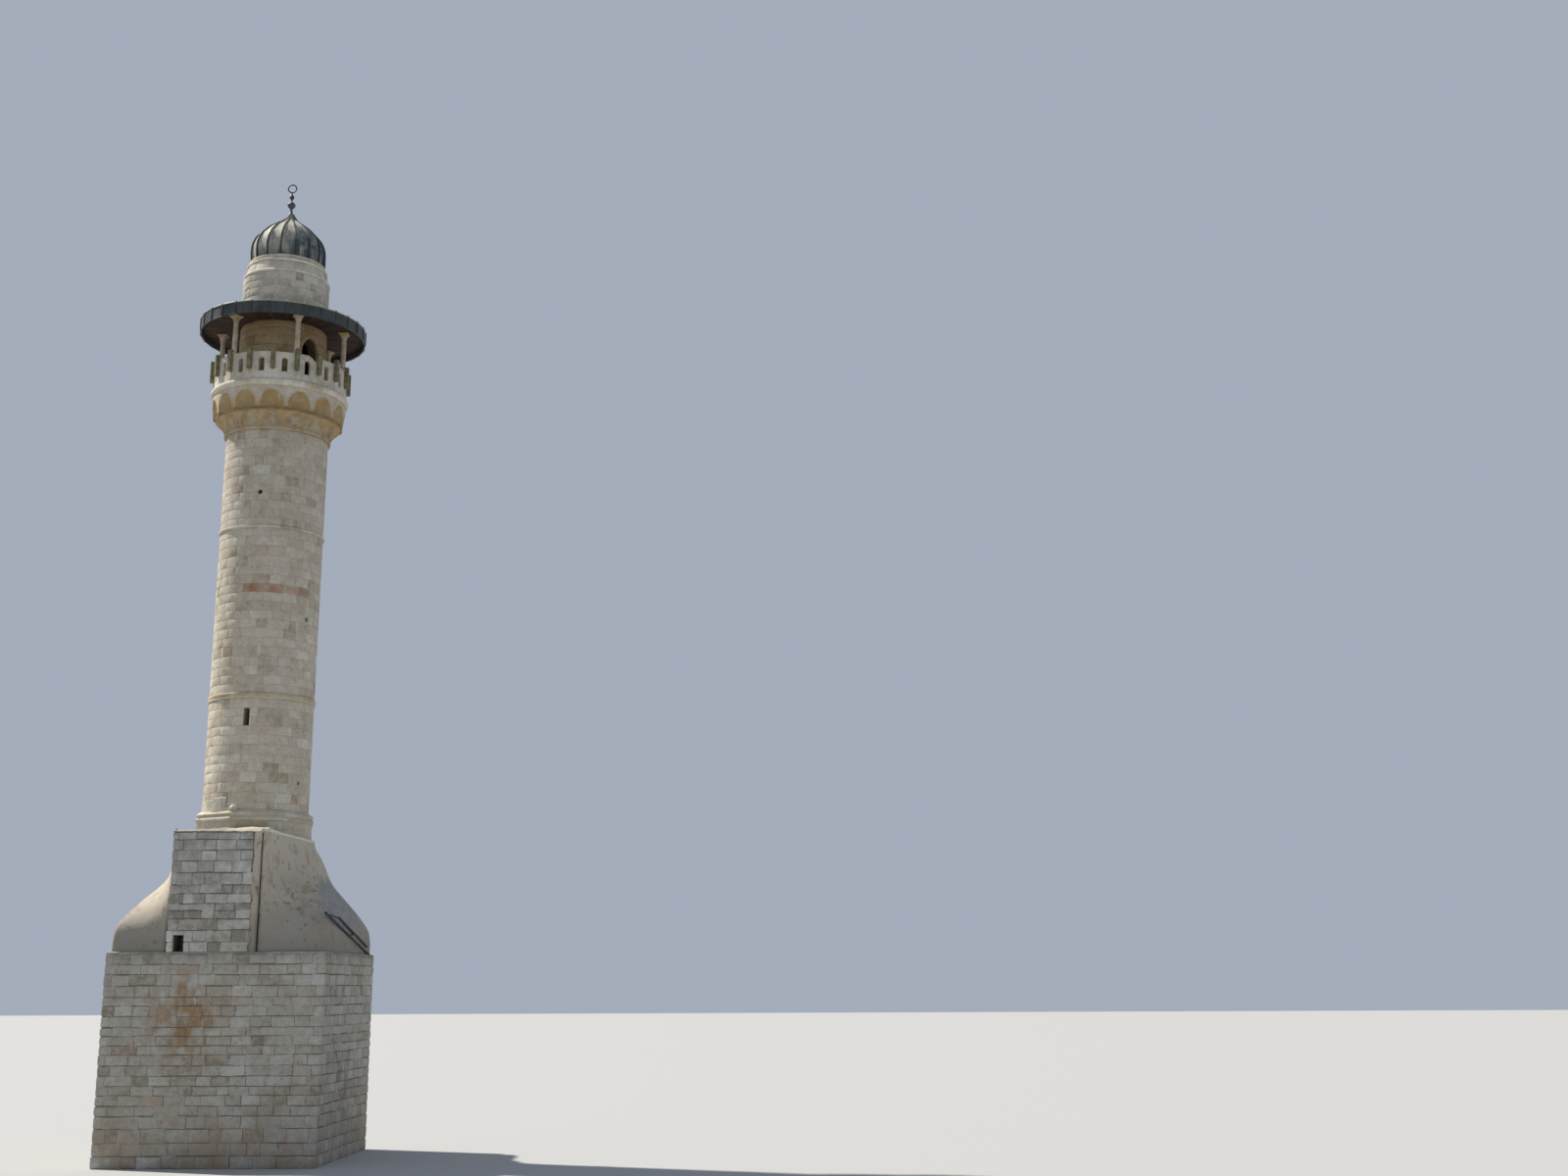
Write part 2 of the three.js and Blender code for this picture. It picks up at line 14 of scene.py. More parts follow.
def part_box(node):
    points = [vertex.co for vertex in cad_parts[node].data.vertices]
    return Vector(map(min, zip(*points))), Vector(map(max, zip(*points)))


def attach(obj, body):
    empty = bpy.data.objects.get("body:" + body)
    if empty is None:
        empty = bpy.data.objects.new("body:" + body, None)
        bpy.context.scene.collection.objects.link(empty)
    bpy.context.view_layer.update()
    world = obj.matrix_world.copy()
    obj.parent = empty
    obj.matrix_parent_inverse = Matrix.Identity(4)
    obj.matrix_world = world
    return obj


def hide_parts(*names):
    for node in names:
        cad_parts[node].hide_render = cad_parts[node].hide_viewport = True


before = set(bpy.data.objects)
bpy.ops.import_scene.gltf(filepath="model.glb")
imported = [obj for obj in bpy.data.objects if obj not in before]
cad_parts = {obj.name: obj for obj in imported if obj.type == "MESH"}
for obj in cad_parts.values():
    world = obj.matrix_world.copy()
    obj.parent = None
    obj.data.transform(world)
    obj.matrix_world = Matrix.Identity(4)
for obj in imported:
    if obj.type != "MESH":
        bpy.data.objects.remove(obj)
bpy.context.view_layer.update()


def low(node):
    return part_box(node)[0]


def high(node):
    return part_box(node)[1]


# Levels and radii, from the frame
BASE_HALF = high("base_tower").x
BASE_TOP = high("base_tower").z
BLOCK_LEFT = low("base_block").x
BLOCK_RIGHT = high("base_block").x
BLOCK_BACK = high("base_block").y
BLOCK_TOP = high("base_block").z
TRANSITION_TOP = high("transition").z
COPING_TOP = high("transition_coping").z
PLINTH_TOP = high("plinth_octagon").z
LOWER_COURSE = low("string_course_lower").z
LOWER_COURSE_TOP = high("string_course_lower").z
UPPER_COURSE = low("string_course_upper").z
UPPER_COURSE_TOP = high("string_course_upper").z
SHAFT_TOP = high("shaft_upper").z
CORBEL_MIDDLE = high("corbel_lower").z
CORBEL_TOP = high("corbel_upper").z
GALLERY_LEVEL = high("gallery_floor").z
PARAPET_TOP = low("canopy_column_1").z
SOFFIT_LEVEL = low("canopy_soffit").z
FASCIA_BOTTOM = low("canopy_roof").z
ROOF_TOP = high("canopy_roof").z
DRUM_SHOULDER = high("drum_upper").z
DOME_RIM = low("dome").z
DOME_TIP = high("dome").z
FINIAL_TOP = high("finial_ring").z
SHAFT_RADIUS = high("shaft_middle").x
COURSE_RADIUS = high("string_course_lower").x
CORNICE_RADIUS = high("gallery_floor").x
DRUM_RADIUS = high("drum_upper").x
WELL_RADIUS = 0.9

# One seed of random draws for each kind of work, from the ground up
BASE_SEED, BLOCK_SEED, PLINTH_SEED, SHAFT_SEED, STRING_SEED = range(11, 16)
CORNICE_SEED, PARAPET_SEED, SOFFIT_SEED, DRUM_SEED, SHOULDER_SEED = range(16, 21)


@dataclass
class Look:
    """How the stones of one wall are cut and laid."""

    length: float
    height: float
    joint: float
    proud: float
    uneven: float
    boss: float
    rough: float
    lean: float = 0.02
    edge: float = 0.014
    drop: float = 0.006
    ragged: float = 0.004
    grid: float = 0.13
    spread: float = 0.3
    variety: float = 0.17
    dark: float = 0.0
    embed: float = 0.015


# Length, height, joint, proud, uneven, boss and rough of each wall's stones, and what else sets them apart
BASE_LOOK = Look(0.5, 0.262, 0.011, 0.015, 0.005, 0.006, 0.007, ragged=0.009, spread=0.4, variety=0.15)
BLOCK_LOOK = Look(0.44, 0.27, 0.013, 0.019, 0.008, 0.008, 0.009, ragged=0.011, spread=0.5, variety=0.28)
PLINTH_LOOK = Look(0.44, 0.22, 0.005, 0.007, 0.002, 0.003, 0.004, drop=0.004, variety=0.10)
SHAFT_LOOK = Look(
    0.42, 0.255, 0.004, 0.008, 0.002, 0.002, 0.007, lean=0.009, drop=0.002, variety=0.12, dark=0.15,
)
DRUM_LOOK = Look(0.42, 0.25, 0.004, 0.006, 0.002, 0.003, 0.004, drop=0.003, variety=0.10, dark=0.05)
SHOULDER_LOOK = Look(0.42, 0.27, 0.006, 0.006, 0.002, 0.003, 0.003)
NECK_LOOK = Look(0.3, 0.12, 0.006, 0.006, 0.002, 0.002, 0.003)


def clamp(value):
    return min(1, max(0, value))


def wavy(x, y, z, frequency):
    return noise.noise(Vector((x, y, z)) * frequency)


def shifted(items):
    """A closed list, started one item later."""
    return items[1:] + items[:1]


def turns(count):
    """Evenly spaced angles round a circle, in radians."""
    return [2 * math.pi * step / count for step in range(count)]


def turned_point(radius, azimuth, height):
    angle = math.radians(azimuth)
    return (radius * math.sin(angle), -radius * math.cos(angle), height)


def ring(radius, height, sides):
    return [turned_point(radius, 360 * side / sides, height) for side in range(sides)]


def outward_frame(azimuth):
    """A mapping from (across, up, outward) to a point, facing an azimuth."""
    angle = math.radians(azimuth)
    along = (math.cos(angle), math.sin(angle))
    outward = (math.sin(angle), -math.cos(angle))

    def place(across, up, away):
        return (along[0] * across + outward[0] * away, along[1] * across + outward[1] * away, up)

    return place


def along_profile(profile, height):
    """The value at a height of a profile of (height, value) points."""
    for (below, first), (above, last) in zip(profile, profile[1:]):
        if height <= above:
            return first + (last - first) * max(0, (height - below) / (above - below))
    return profile[-1][1]


CURVE_STEPS = 6


def smooth_curve(points):
    """Points on a smooth curve through the given ones."""
    curve = []
    for index in range(len(points) - 1):
        before = Vector(points[max(index - 1, 0)])
        start = Vector(points[index])
        end = Vector(points[index + 1])
        after = Vector(points[min(index + 2, len(points) - 1)])
        for step in range(CURVE_STEPS):
            t = step / CURVE_STEPS
            place = start * 2 + (end - before) * t + (before * 2 - start * 5 + end * 4 - after) * t * t
            place += (start * 3 - before - end * 3 + after) * t ** 3
            curve.append(place / 2)
    curve.append(Vector(points[-1]))
    return curve


def spaced(start, end, pitch, wanted=()):
    """Values from start to end at about a pitch, which pass through the wanted ones."""
    count = max(2, round((end - start) / pitch))
    values = {round(start + (end - start) * step / count, 5) for step in range(count + 1)}
    values.update(round(value, 5) for value in wanted if start < value < end)
    return sorted(values)


def uneven_cuts(start, end, size, rng, spread=0.14):
    """Cuts from start to end, into parts of about a size."""
    shares = [rng.uniform(1 - spread, 1 + spread) for _ in range(max(1, round((end - start) / size)))]
    cuts = [start]
    for share in shares:
        cuts.append(cuts[-1] + (end - start) * share / sum(shares))
    return cuts


class Builder:
    """Collects the points and faces of one piece, with a tone and a rust value at every point."""

    def __init__(self):
        self.points = []
        self.faces = []
        self.tone = []
        self.rust = []

    def add(self, points, faces, tone, rust):
        start = len(self.points)
        self.points.extend(points)
        self.faces.extend([start + index for index in face] for face in faces)
        self.tone.extend(tone if isinstance(tone, list) else [tone] * len(points))
        self.rust.extend(rust if isinstance(rust, list) else [rust] * len(points))

    def piece(self, name, material, replaced=(), sharp=40):
        mesh = bpy.data.meshes.new(name)
        mesh.from_pydata(self.points, [], self.faces)
        for label, values in (("tone", self.tone), ("rust", self.rust)):
            mesh.attributes.new(label, "FLOAT", "POINT").data.foreach_set("value", values)
        mesh.materials.append(material)
        mesh.polygons.foreach_set("use_smooth", [True] * len(mesh.polygons))
        mesh.set_sharp_from_angle(angle=math.radians(sharp))
        made = bpy.data.objects.new(name, mesh)
        bpy.context.scene.collection.objects.link(made)
        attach(made, "root")
        if replaced:
            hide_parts(*replaced)


def loft(builder, loops, wrap=False, tone=0.5, rust=0.0, flip=False):
    """Joins closed loops of points one after the other. The ends are capped, or meet where it wraps.

    The loops run so that the faces look outward, or the other way where it flips them.
    """
    if flip:
        loops = [loop[::-1] for loop in loops]
    count = len(loops[0])
    rings = [list(range(step * count, (step + 1) * count)) for step in range(len(loops))]
    faces = []
    for here, there in zip(rings, shifted(rings) if wrap else rings[1:]):
        faces.extend(zip(here, shifted(here), shifted(there), there))
    if not wrap:
        faces += [rings[0][::-1], rings[-1]]
    builder.add([point for loop in loops for point in loop], faces, tone, rust)


def lathe(builder, profile, sides, centre=(0, 0), tone=0.5):
    """A profile of (radius, height) points, from the foot up, turned about an upright axis."""
    loops = []
    for radius, height in profile:
        loops.append([(x + centre[0], y + centre[1], z) for x, y, z in ring(radius, height, sides)])
    loft(builder, loops, tone=tone)


class RoundWall:
    """A round wall, whose radius may follow a profile. u runs to the right from azimuth 0."""

    corners = ()

    def __init__(self, radius, profile=None):
        self.radius = radius
        self.profile = profile or [(0, radius)]
        self.length = 2 * math.pi * radius

    def place(self, u, v, w):
        angle = u / self.radius
        reach = along_profile(self.profile, v) + w
        return (reach * math.sin(angle), -reach * math.cos(angle), v)

    def along(self, azimuth):
        return math.radians(azimuth) * self.radius

    def opening(self, azimuth, bottom, width, height):
        middle = self.along(azimuth)
        return (middle - width / 2, middle + width / 2, bottom, bottom + height)


class FacetedWall:
    """A wall on a closed outline of corners. u runs to the right from the first corner."""

    def __init__(self, corners):
        self.outline = [Vector(corner) for corner in corners]
        spans = [end - start for start, end in zip(self.outline, shifted(self.outline))]
        self.spans = [span.length for span in spans]
        self.corners = [sum(self.spans[:index]) for index in range(len(spans))]
        self.length = sum(self.spans)
        normals = [Vector((span.y, -span.x)).normalized() for span in spans]
        pairs = zip(normals[-1:] + normals, normals)
        self.mitres = [(before + after) / (1 + before.dot(after)) for before, after in pairs]

    def place(self, u, v, w):
        u %= self.length
        edge = bisect.bisect_right(self.corners, u) - 1
        share = (u - self.corners[edge]) / self.spans[edge]
        after = (edge + 1) % len(self.outline)
        start = self.outline[edge] + self.mitres[edge] * w
        end = self.outline[after] + self.mitres[after] * w
        return (*start.lerp(end, share), v)


SHORTEST_STONE = 0.03
LOWEST_STONE = 0.025
THINNEST_REST = 0.04
LEAST_EDGE = 0.002
LEAST_FACE = 0.003
TAPER = 0.4
ROUGH_FREQUENCY = 7
LONG_QUOIN = 0.62
SHORT_QUOIN = 0.38
MOULDED_VARIETY = 0.15
CUT_SHARES = (0.6, 0.9)
DARK_TONES = (0.08, 0.4)


def lay_stone(builder, wall, left, right, bottom, top, look, rng, tone, rust=0.0):
    """One dressed stone: a closed block with worn edges and a slightly rough, slightly swelling face."""
    gap = look.joint / 2
    left += gap * rng.uniform(0.5, 1.5)
    right -= gap * rng.uniform(0.5, 1.5)
    bottom += gap * rng.uniform(0.5, 1.5)
    top -= gap * rng.uniform(0.5, 1.5)
    width = right - left
    height = top - bottom
    if width < SHORTEST_STONE or height < LOWEST_STONE:
        return
    edge = min(look.edge, width / 4, height / 4)
    corners = [corner + turn for corner in wall.corners for turn in (0, wall.length)]
    columns = [left, *spaced(left + edge, right - edge, look.grid, corners), right]
    rows = [bottom, *spaced(bottom + edge, top - edge, look.grid), top]
    ends = (0, len(columns) - 1)
    beds = (0, len(rows) - 1)
    proud = look.proud + look.uneven * rng.uniform(-1, 1)
    lean = look.lean * rng.uniform(-1, 1)
    tip = look.lean * rng.uniform(-1, 1)
    seed = rng.uniform(0, 50)
    points = []
    for j, v in enumerate(rows):
        rise = 2 * (v - bottom) / height - 1
        for i, u in enumerate(columns):
            across = 2 * (u - left) / width - 1
            w = proud + (lean * across * width + tip * rise * height) / 2
            if i in ends or j in beds:
                w = max(w - look.drop, LEAST_EDGE)
                u += look.ragged * rng.uniform(-1, 1) - (edge * TAPER * across if j in beds else 0)
                v += look.ragged * rng.uniform(-1, 1) - (edge * TAPER * rise if i in ends else 0)
            else:
                w += look.boss * (1 - across * across) * (1 - rise * rise)
                w = max(w + look.rough * wavy(u, v, seed, ROUGH_FREQUENCY), LEAST_FACE)
            points.append(wall.place(u, max(v, 0.0), w))
    count = len(columns)
    grid = [list(range(j * count, (j + 1) * count)) for j in range(len(rows))]
    faces = []
    for row, above in zip(grid, grid[1:]):
        faces.extend(zip(row, row[1:], above[1:], above))
    rim = grid[0] + [row[-1] for row in grid[1:]] + grid[-1][-2::-1] + [row[0] for row in grid[-2:0:-1]]
    back = list(range(len(points), len(points) + len(rim)))
    faces.extend(zip(rim, back, shifted(back), shifted(rim)))
    faces.append(back[::-1])
    points.extend(wall.place(columns[i % count], rows[i // count], -look.embed) for i in rim)
    builder.add(points, faces, tone, rust)


def split(start, end, look, rng):
    """Cuts a stretch of a course into stones of uneven length."""
    cuts = uneven_cuts(start, end, look.length, rng, look.spread)
    return list(zip(cuts, cuts[1:]))


def course_stones(wall, look, rng, odd):
    """The stones of one course. Those at a corner show on both faces, long and short by turns."""
    if not wall.corners:
        turn = rng.uniform(0, look.length) - wall.length / 2
        return split(turn, turn + wall.length, look, rng)
    before, after = (LONG_QUOIN, SHORT_QUOIN) if odd else (SHORT_QUOIN, LONG_QUOIN)
    quoins = [(corner - before * look.length, corner + after * look.length) for corner in wall.corners]
    quoins.append((quoins[0][0] + wall.length, quoins[0][1] + wall.length))
    stones = []
    for index in range(len(wall.corners)):
        stones.append(quoins[index or -1])
        stones.extend(split(quoins[index][1], quoins[index + 1][0], look, rng))
    return stones


def clear_of(openings, left, right, bottom, top):
    """What is left of a stone beside, below and above the opening that it meets."""
    for start, end, foot, head in openings:
        if left < end and right > start and bottom < head and top > foot:
            middle = (max(left, start), min(right, end))
            parts = [(left, start, bottom, top), (end, right, bottom, top)]
            parts += [(*middle, bottom, foot), (*middle, head, top)]
            return [part for part in parts if part[1] > part[0] and part[3] - part[2] > THINNEST_REST]
    return [(left, right, bottom, top)]


def no_rust(u, v, rng):
    return 0.0


def some_rust(odds, least, most):
    """Rust on some of the stones, picked at random."""
    return lambda u, v, rng: rng.uniform(least, most) if rng.random() < odds else 0.0


def lay_courses(builder, wall, levels, look, rng, openings=(), rust=no_rust):
    """Lays every course of a wall, with a few short, darker stones."""
    for course, (bottom, top) in enumerate(zip(levels, levels[1:])):
        for left, right in course_stones(wall, look, rng, course % 2):
            tone = clamp(rng.gauss(0.5, look.variety))
            stain = rust((left + right) / 2, (bottom + top) / 2, rng)
            pieces = [(left, right, tone)]
            if rng.random() < look.dark:
                cut = left + (right - left) * rng.uniform(*CUT_SHARES)
                pieces = [(left, cut, rng.uniform(*DARK_TONES)), (cut, right, tone)]
            for start, end, shade in pieces:
                for part in clear_of(openings, start, end, bottom, top):
                    lay_stone(builder, wall, *part, look, rng, shade, stain)


def moulding(builder, wall, profile, rng, length, joint=0.005, rust=0.0, pitch=0.1, embed=0.03, wear=0.003):
    """Moulded stones laid end to end. The profile's (outward, height) points run from the top down."""
    loop = [(-embed, profile[-1][1]), (-embed, profile[0][1]), *profile]
    count = round(wall.length / length)
    for index in range(count):
        left = wall.length * index / count + joint / 2
        right = wall.length * (index + 1) / count - joint / 2
        tone = clamp(rng.gauss(0.5, MOULDED_VARIETY))
        shift = wear * rng.uniform(-1, 1)
        loops = []
        for u in spaced(left, right, pitch, wall.corners):
            worn = [(w if w <= -embed else w + shift + wear * wavy(u, v, 0, 5), v) for w, v in loop]
            loops.append([wall.place(u, v, w) for w, v in worn])
        loft(builder, loops, tone=tone, rust=rust)


def rolled(middle, half, reach, inner, steps=6):
    """A half-round moulding: (outward, height) points from the top down, between two inner corners."""
    arc = [math.pi * step / steps for step in range(steps + 1)]
    return [(inner + (reach - inner) * math.sin(angle), middle + half * math.cos(angle)) for angle in arc]


NOISE_SPAN = (0.3, 0.7)


class Finish:
    """A procedural material: each method adds nodes and returns their output."""

    def __init__(self, name):
        self.material = bpy.data.materials.new(name)
        self.material.use_nodes = True
        self.tree = self.material.node_tree
        self.shader = self.tree.nodes["Principled BSDF"]
        self.place = self.node("TexCoord", "Object", {})

    def node(self, kind, output, inputs, **settings):
        made = self.tree.nodes.new("ShaderNode" + kind)
        for label, value in settings.items():
            setattr(made, label, value)
        for socket, value in inputs.items():
            self.feed(made.inputs[socket], value)
        return made.outputs[output]

    def feed(self, socket, value):
        if isinstance(value, bpy.types.NodeSocket):
            self.tree.links.new(value, socket)
        else:
            socket.default_value = value

    def attribute(self, name):
        return self.node("Attribute", "Fac", {}, attribute_name=name)

    def axis(self, name):
        return self.node("SeparateXYZ", name, {0: self.place})

    def stretched(self, scale):
        return self.node("Mapping", "Vector", {"Vector": self.place, "Scale": scale})

    def noise(self, scale, detail=4.0, roughness=0.55, stretch=None):
        inputs = {"Scale": scale, "Detail": detail, "Roughness": roughness}
        inputs["Vector"] = self.stretched(stretch) if stretch else self.place
        return self.node("TexNoise", "Fac", inputs)

    def math(self, operation, first, second, clamp):
        return self.node("Math", 0, {0: first, 1: second}, operation=operation, use_clamp=clamp)

    def add(self, first, second, clamp=False):
        return self.math("ADD", first, second, clamp)

    def times(self, first, second, clamp=False):
        return self.math("MULTIPLY", first, second, clamp)

    def between(self, value, start, end, first=0.0, last=1.0):
        inputs = {"Value": value, "From Min": start, "From Max": end, "To Min": first, "To Max": last}
        return self.node("MapRange", "Result", inputs)

    def cloud(self, first, last, *grain):
        """Noise that wanders between two values."""
        return self.between(self.noise(*grain), *NOISE_SPAN, first, last)

    def near(self, centre, reach, stretch):
        """1 at a point of the object, falling to 0 at a distance, which is stretched along the axes."""
        place = self.stretched([1 / share for share in stretch])
        centre = [part / share for part, share in zip(centre, stretch)]
        away = self.node("VectorMath", "Value", {0: place, 1: centre}, operation="DISTANCE")
        return self.between(away, 0, reach, 1, 0)

    def ramp(self, value, stops):
        output = self.node("ValToRGB", "Color", {0: value})
        elements = output.node.color_ramp.elements
        while len(elements) < len(stops):
            elements.new(0.5)
        for element, (position, colour) in zip(elements, stops):
            element.position = position
            element.color = (*colour, 1)
        return output

    def mix(self, share, first, second, mode="MIX"):
        inputs = {0: share}
        for socket, colour in ((6, first), (7, second)):
            inputs[socket] = colour if isinstance(colour, bpy.types.NodeSocket) else (*colour, 1)
        return self.node("Mix", 2, inputs, data_type="RGBA", blend_type=mode, clamp_factor=True)

    def stain(self, colour, tint, value, start, end, share):
        """A colour that turns towards a tint, up to a share of it, as a value goes from start to end."""
        return self.mix(self.between(value, start, end, 0, share), colour, tint)

    def scaled(self, colour, value):
        """A colour multiplied by a value."""
        grey = self.node("CombineColor", 0, {0: value, 1: value, 2: value})
        return self.mix(1.0, colour, grey, "MULTIPLY")

    def bump(self, height, strength, distance):
        inputs = {"Height": height, "Strength": strength, "Distance": distance}
        self.feed(self.shader.inputs["Normal"], self.node("Bump", "Normal", inputs))

    def set(self, **values):
        for label, value in values.items():
            self.feed(self.shader.inputs[label.replace("_", " ")], value)


RUST = (0.34, 0.18, 0.12)
OCHRE = (0.37, 0.262, 0.122)
SEEP_BROWN = (0.285, 0.19, 0.10)
EARTH_BROWN = (0.31, 0.235, 0.165)
WEATHERED_TOP = (0.20, 0.20, 0.18)
WEATHERED_BLOCK = (0.25, 0.255, 0.235)
STREAK_BROWN = (0.40, 0.32, 0.22)
WASHED_GREY = (0.47, 0.45, 0.40)
CANOPY_SHADE_BROWN = (0.20, 0.13, 0.065)
WEATHERED_MORTAR = (0.23, 0.22, 0.19)
PALE_PLASTER = (0.54, 0.49, 0.40)
DAMP_GREY = (0.235, 0.23, 0.205)
SPOT_BROWN = (0.31, 0.235, 0.155)
DARK_SPOT = (0.17, 0.12, 0.08)
DARK_FLANK_SHADE = (0.225, 0.235, 0.235)
PALE_FLANK_SHADE = (0.335, 0.34, 0.33)
POST_STAIN = (0.10, 0.075, 0.045)


def stone(name, shades, rust, mottle=0.35, broad=0.9, blotch=0.3, extra=None):
    """Weathered limestone: the tone of each stone, broad patches, fine mottling, pits and rust."""
    finish = Finish(name)
    patches = finish.cloud(-blotch, blotch, broad, 3)
    tone = finish.add(finish.attribute("tone"), patches)
    mottling = finish.cloud(-mottle, mottle, 5.5, 5, 0.6)
    colour = finish.ramp(finish.add(tone, mottling, clamp=True), shades)
    colour = finish.scaled(colour, finish.cloud(0.82, 1.14, 34, 5, 0.65))
    pits = finish.between(finish.noise(21, 2, 0.4), 0.27, 0.36, 0.62, 1.0)
    colour = finish.scaled(colour, pits)
    seep = finish.between(finish.noise(4.5, 5, 0.6), 0.25, 0.6, 0.35, 1.15)
    colour = finish.mix(finish.times(finish.attribute("rust"), seep, clamp=True), colour, rust)
    if extra:
        colour = extra(finish, colour)
    finish.bump(finish.add(finish.times(pits, 0.5), finish.noise(26, 6, 0.65)), 0.55, 0.016)
    finish.set(Base_Color=colour, Roughness=0.92, Specular_IOR_Level=0.2)
    return finish.material


def base_weather(finish, colour):
    """An orange-brown seep on the front, earth-brown courses low down and a grey, weathered top."""
    ragged = finish.noise(2.6, 6, 0.65, stretch=(1, 1, 0.6))
    seep = finish.times(finish.near((-0.65, -2.87, 3.65), 1.55, (0.85, 1, 1.0)), 2.2)
    seep = finish.times(seep, finish.between(ragged, 0.37, 0.62), clamp=True)
    colour = finish.mix(seep, colour, SEEP_BROWN)
    earth = finish.between(finish.axis("Z"), 0.1, 2.2, 0.85, 0)
    earth = finish.times(earth, finish.between(finish.noise(1.3, 5), 0.38, 0.6))
    colour = finish.mix(earth, colour, EARTH_BROWN)
    top = finish.between(finish.axis("Z"), BASE_TOP - 0.35, BASE_TOP, 0, 0.75)
    top = finish.times(top, finish.between(finish.noise(3.2, 5), 0.35, 0.6))
    return finish.mix(top, colour, WEATHERED_TOP)


def block_weather(finish, colour):
    """Grey weathering that deepens towards the top of the block."""
    height = finish.between(finish.axis("Z"), BASE_TOP + 0.6, BLOCK_TOP, 0.1, 0.85)
    share = finish.times(height, finish.between(finish.noise(2.4, 5), 0.3, 0.62))
    return finish.mix(share, colour, WEATHERED_BLOCK)


def shaft_streaks_and_shade(finish, colour):
    """Faint upright streaks of brown and of grey, and painted shade that darkens the stone higher up."""
    streak = finish.noise(2.2, 5, 0.6, stretch=(1, 1, 0.16))
    colour = finish.stain(colour, STREAK_BROWN, streak, 0.55, 0.75, 0.25)
    wash = finish.noise(1.1, 4, 0.5, stretch=(1, 1, 0.5))
    colour = finish.stain(colour, WASHED_GREY, wash, 0.52, 0.72, 0.3)
    # Painted shade: the stone is darkened with height
    return finish.scaled(colour, finish.between(finish.axis("Z"), LOWER_COURSE, SHAFT_TOP, 1.0, 0.86))


def drum_canopy_shade(finish, colour):
    """Painted shade under the canopy: brown, darkest at the top of the drum."""
    shade = finish.between(finish.axis("Z"), GALLERY_LEVEL + 0.4, SOFFIT_LEVEL, 0.15, 0.7)
    # Painted shade: the drum is mixed towards brown as it rises under the canopy
    return finish.mix(shade, colour, CANOPY_SHADE_BROWN)


BASE_SHADES = [
    (0, (0.25, 0.22, 0.17)), (0.3, (0.35, 0.33, 0.28)), (0.6, (0.40, 0.388, 0.342)), (1, (0.48, 0.47, 0.43)),
]
BLOCK_SHADES = [
    (0, (0.26, 0.24, 0.20)), (0.3, (0.38, 0.365, 0.32)), (0.6, (0.47, 0.46, 0.42)), (1, (0.57, 0.565, 0.52)),
]
SHAFT_SHADES = [
    (0, (0.34, 0.285, 0.20)), (0.25, (0.46, 0.41, 0.32)), (0.6, (0.54, 0.495, 0.41)), (1, (0.65, 0.61, 0.53)),
]
DRUM_SHADES = [
    (0, (0.25, 0.24, 0.20)), (0.25, (0.40, 0.375, 0.31)), (0.6, (0.52, 0.49, 0.42)), (1, (0.62, 0.59, 0.52)),
]
# The darkest stop also paints the dark line of dirt and shade where the corbel's tiers meet
CORBEL_SHADES = [
    (0, (0.17, 0.125, 0.075)), (0.3, (0.40, 0.35, 0.26)), (0.6, (0.48, 0.44, 0.36)), (1, (0.58, 0.55, 0.47)),
]
OCHRE_SHADES = [
    (0, (0.30, 0.21, 0.10)), (0.4, (0.44, 0.35, 0.20)), (0.7, (0.50, 0.43, 0.29)), (1, (0.60, 0.56, 0.44)),
]
PALE_SHADES = [(0, (0.40, 0.37, 0.295)), (0.4, (0.54, 0.51, 0.43)), (1, (0.72, 0.69, 0.61))]

base_stone = stone("base_stone", BASE_SHADES, RUST, mottle=0.28, blotch=0.25, extra=base_weather)
block_stone = stone("block_stone", BLOCK_SHADES, RUST, extra=block_weather)
shaft_stone = stone("shaft_stone", SHAFT_SHADES, RUST, mottle=0.24, blotch=0.16, extra=shaft_streaks_and_shade)
plinth_stone = stone("plinth_stone", SHAFT_SHADES, OCHRE, mottle=0.16, blotch=0.12, extra=shaft_streaks_and_shade)
pale_stone = stone("pale_stone", PALE_SHADES, OCHRE, mottle=0.25)
column_stone = stone("column_stone", SHAFT_SHADES, OCHRE, mottle=0.25)
corbel_stone = stone("corbel_stone", CORBEL_SHADES, OCHRE, mottle=0.18, broad=1.8, blotch=0.14)
drum_top_stone = stone("drum_top_stone", DRUM_SHADES, OCHRE, mottle=0.2, blotch=0.15)
drum_stone = stone("drum_stone", OCHRE_SHADES, RUST, extra=drum_canopy_shade)


def mortar(name, colour, dark, grey_left=None):
    """Rough mortar. grey_left gives the X at which its weathered left part ends, and where it is clean."""
    finish = Finish(name)
    grain = finish.noise(18, 6, 0.65)
    shade = finish.mix(finish.between(grain, 0.35, 0.65), dark, colour)
    if grey_left:
        left = finish.between(finish.axis("X"), *grey_left, 0.85, 0)
        shade = finish.mix(left, shade, WEATHERED_MORTAR)
    finish.set(Base_Color=shade, Roughness=0.97, Specular_IOR_Level=0.1)
    finish.bump(grain, 0.6, 0.02)
    return finish.material


dark_mortar = mortar("dark_mortar", (0.24, 0.22, 0.18), (0.14, 0.125, 0.10))
pale_mortar = mortar("pale_mortar", (0.56, 0.51, 0.41), (0.46, 0.41, 0.32))
ledge_mortar = mortar("ledge_mortar", (0.60, 0.56, 0.47), (0.42, 0.38, 0.30), grey_left=(-0.05, 0.4))
# Painted light: the lip's mortar is whitish, for the sunlight on its top
sunlit_lip_mortar = mortar("sunlit_lip_mortar", (0.74, 0.71, 0.62), (0.54, 0.50, 0.42))
brown_mortar = mortar("brown_mortar", (0.24, 0.18, 0.11), (0.12, 0.08, 0.05))


# Centre, stretch, slant and edge of the painted shade on the plaster's right flank
FLANK_SHADE_CENTRE = (2.35, 0.1, 6.8)
FLANK_SHADE_STRETCH = (1, 2.6, 1)
FLANK_SHADE_LEAN = -0.78
FLANK_SHADE_EDGE = (-4.80, -4.72)


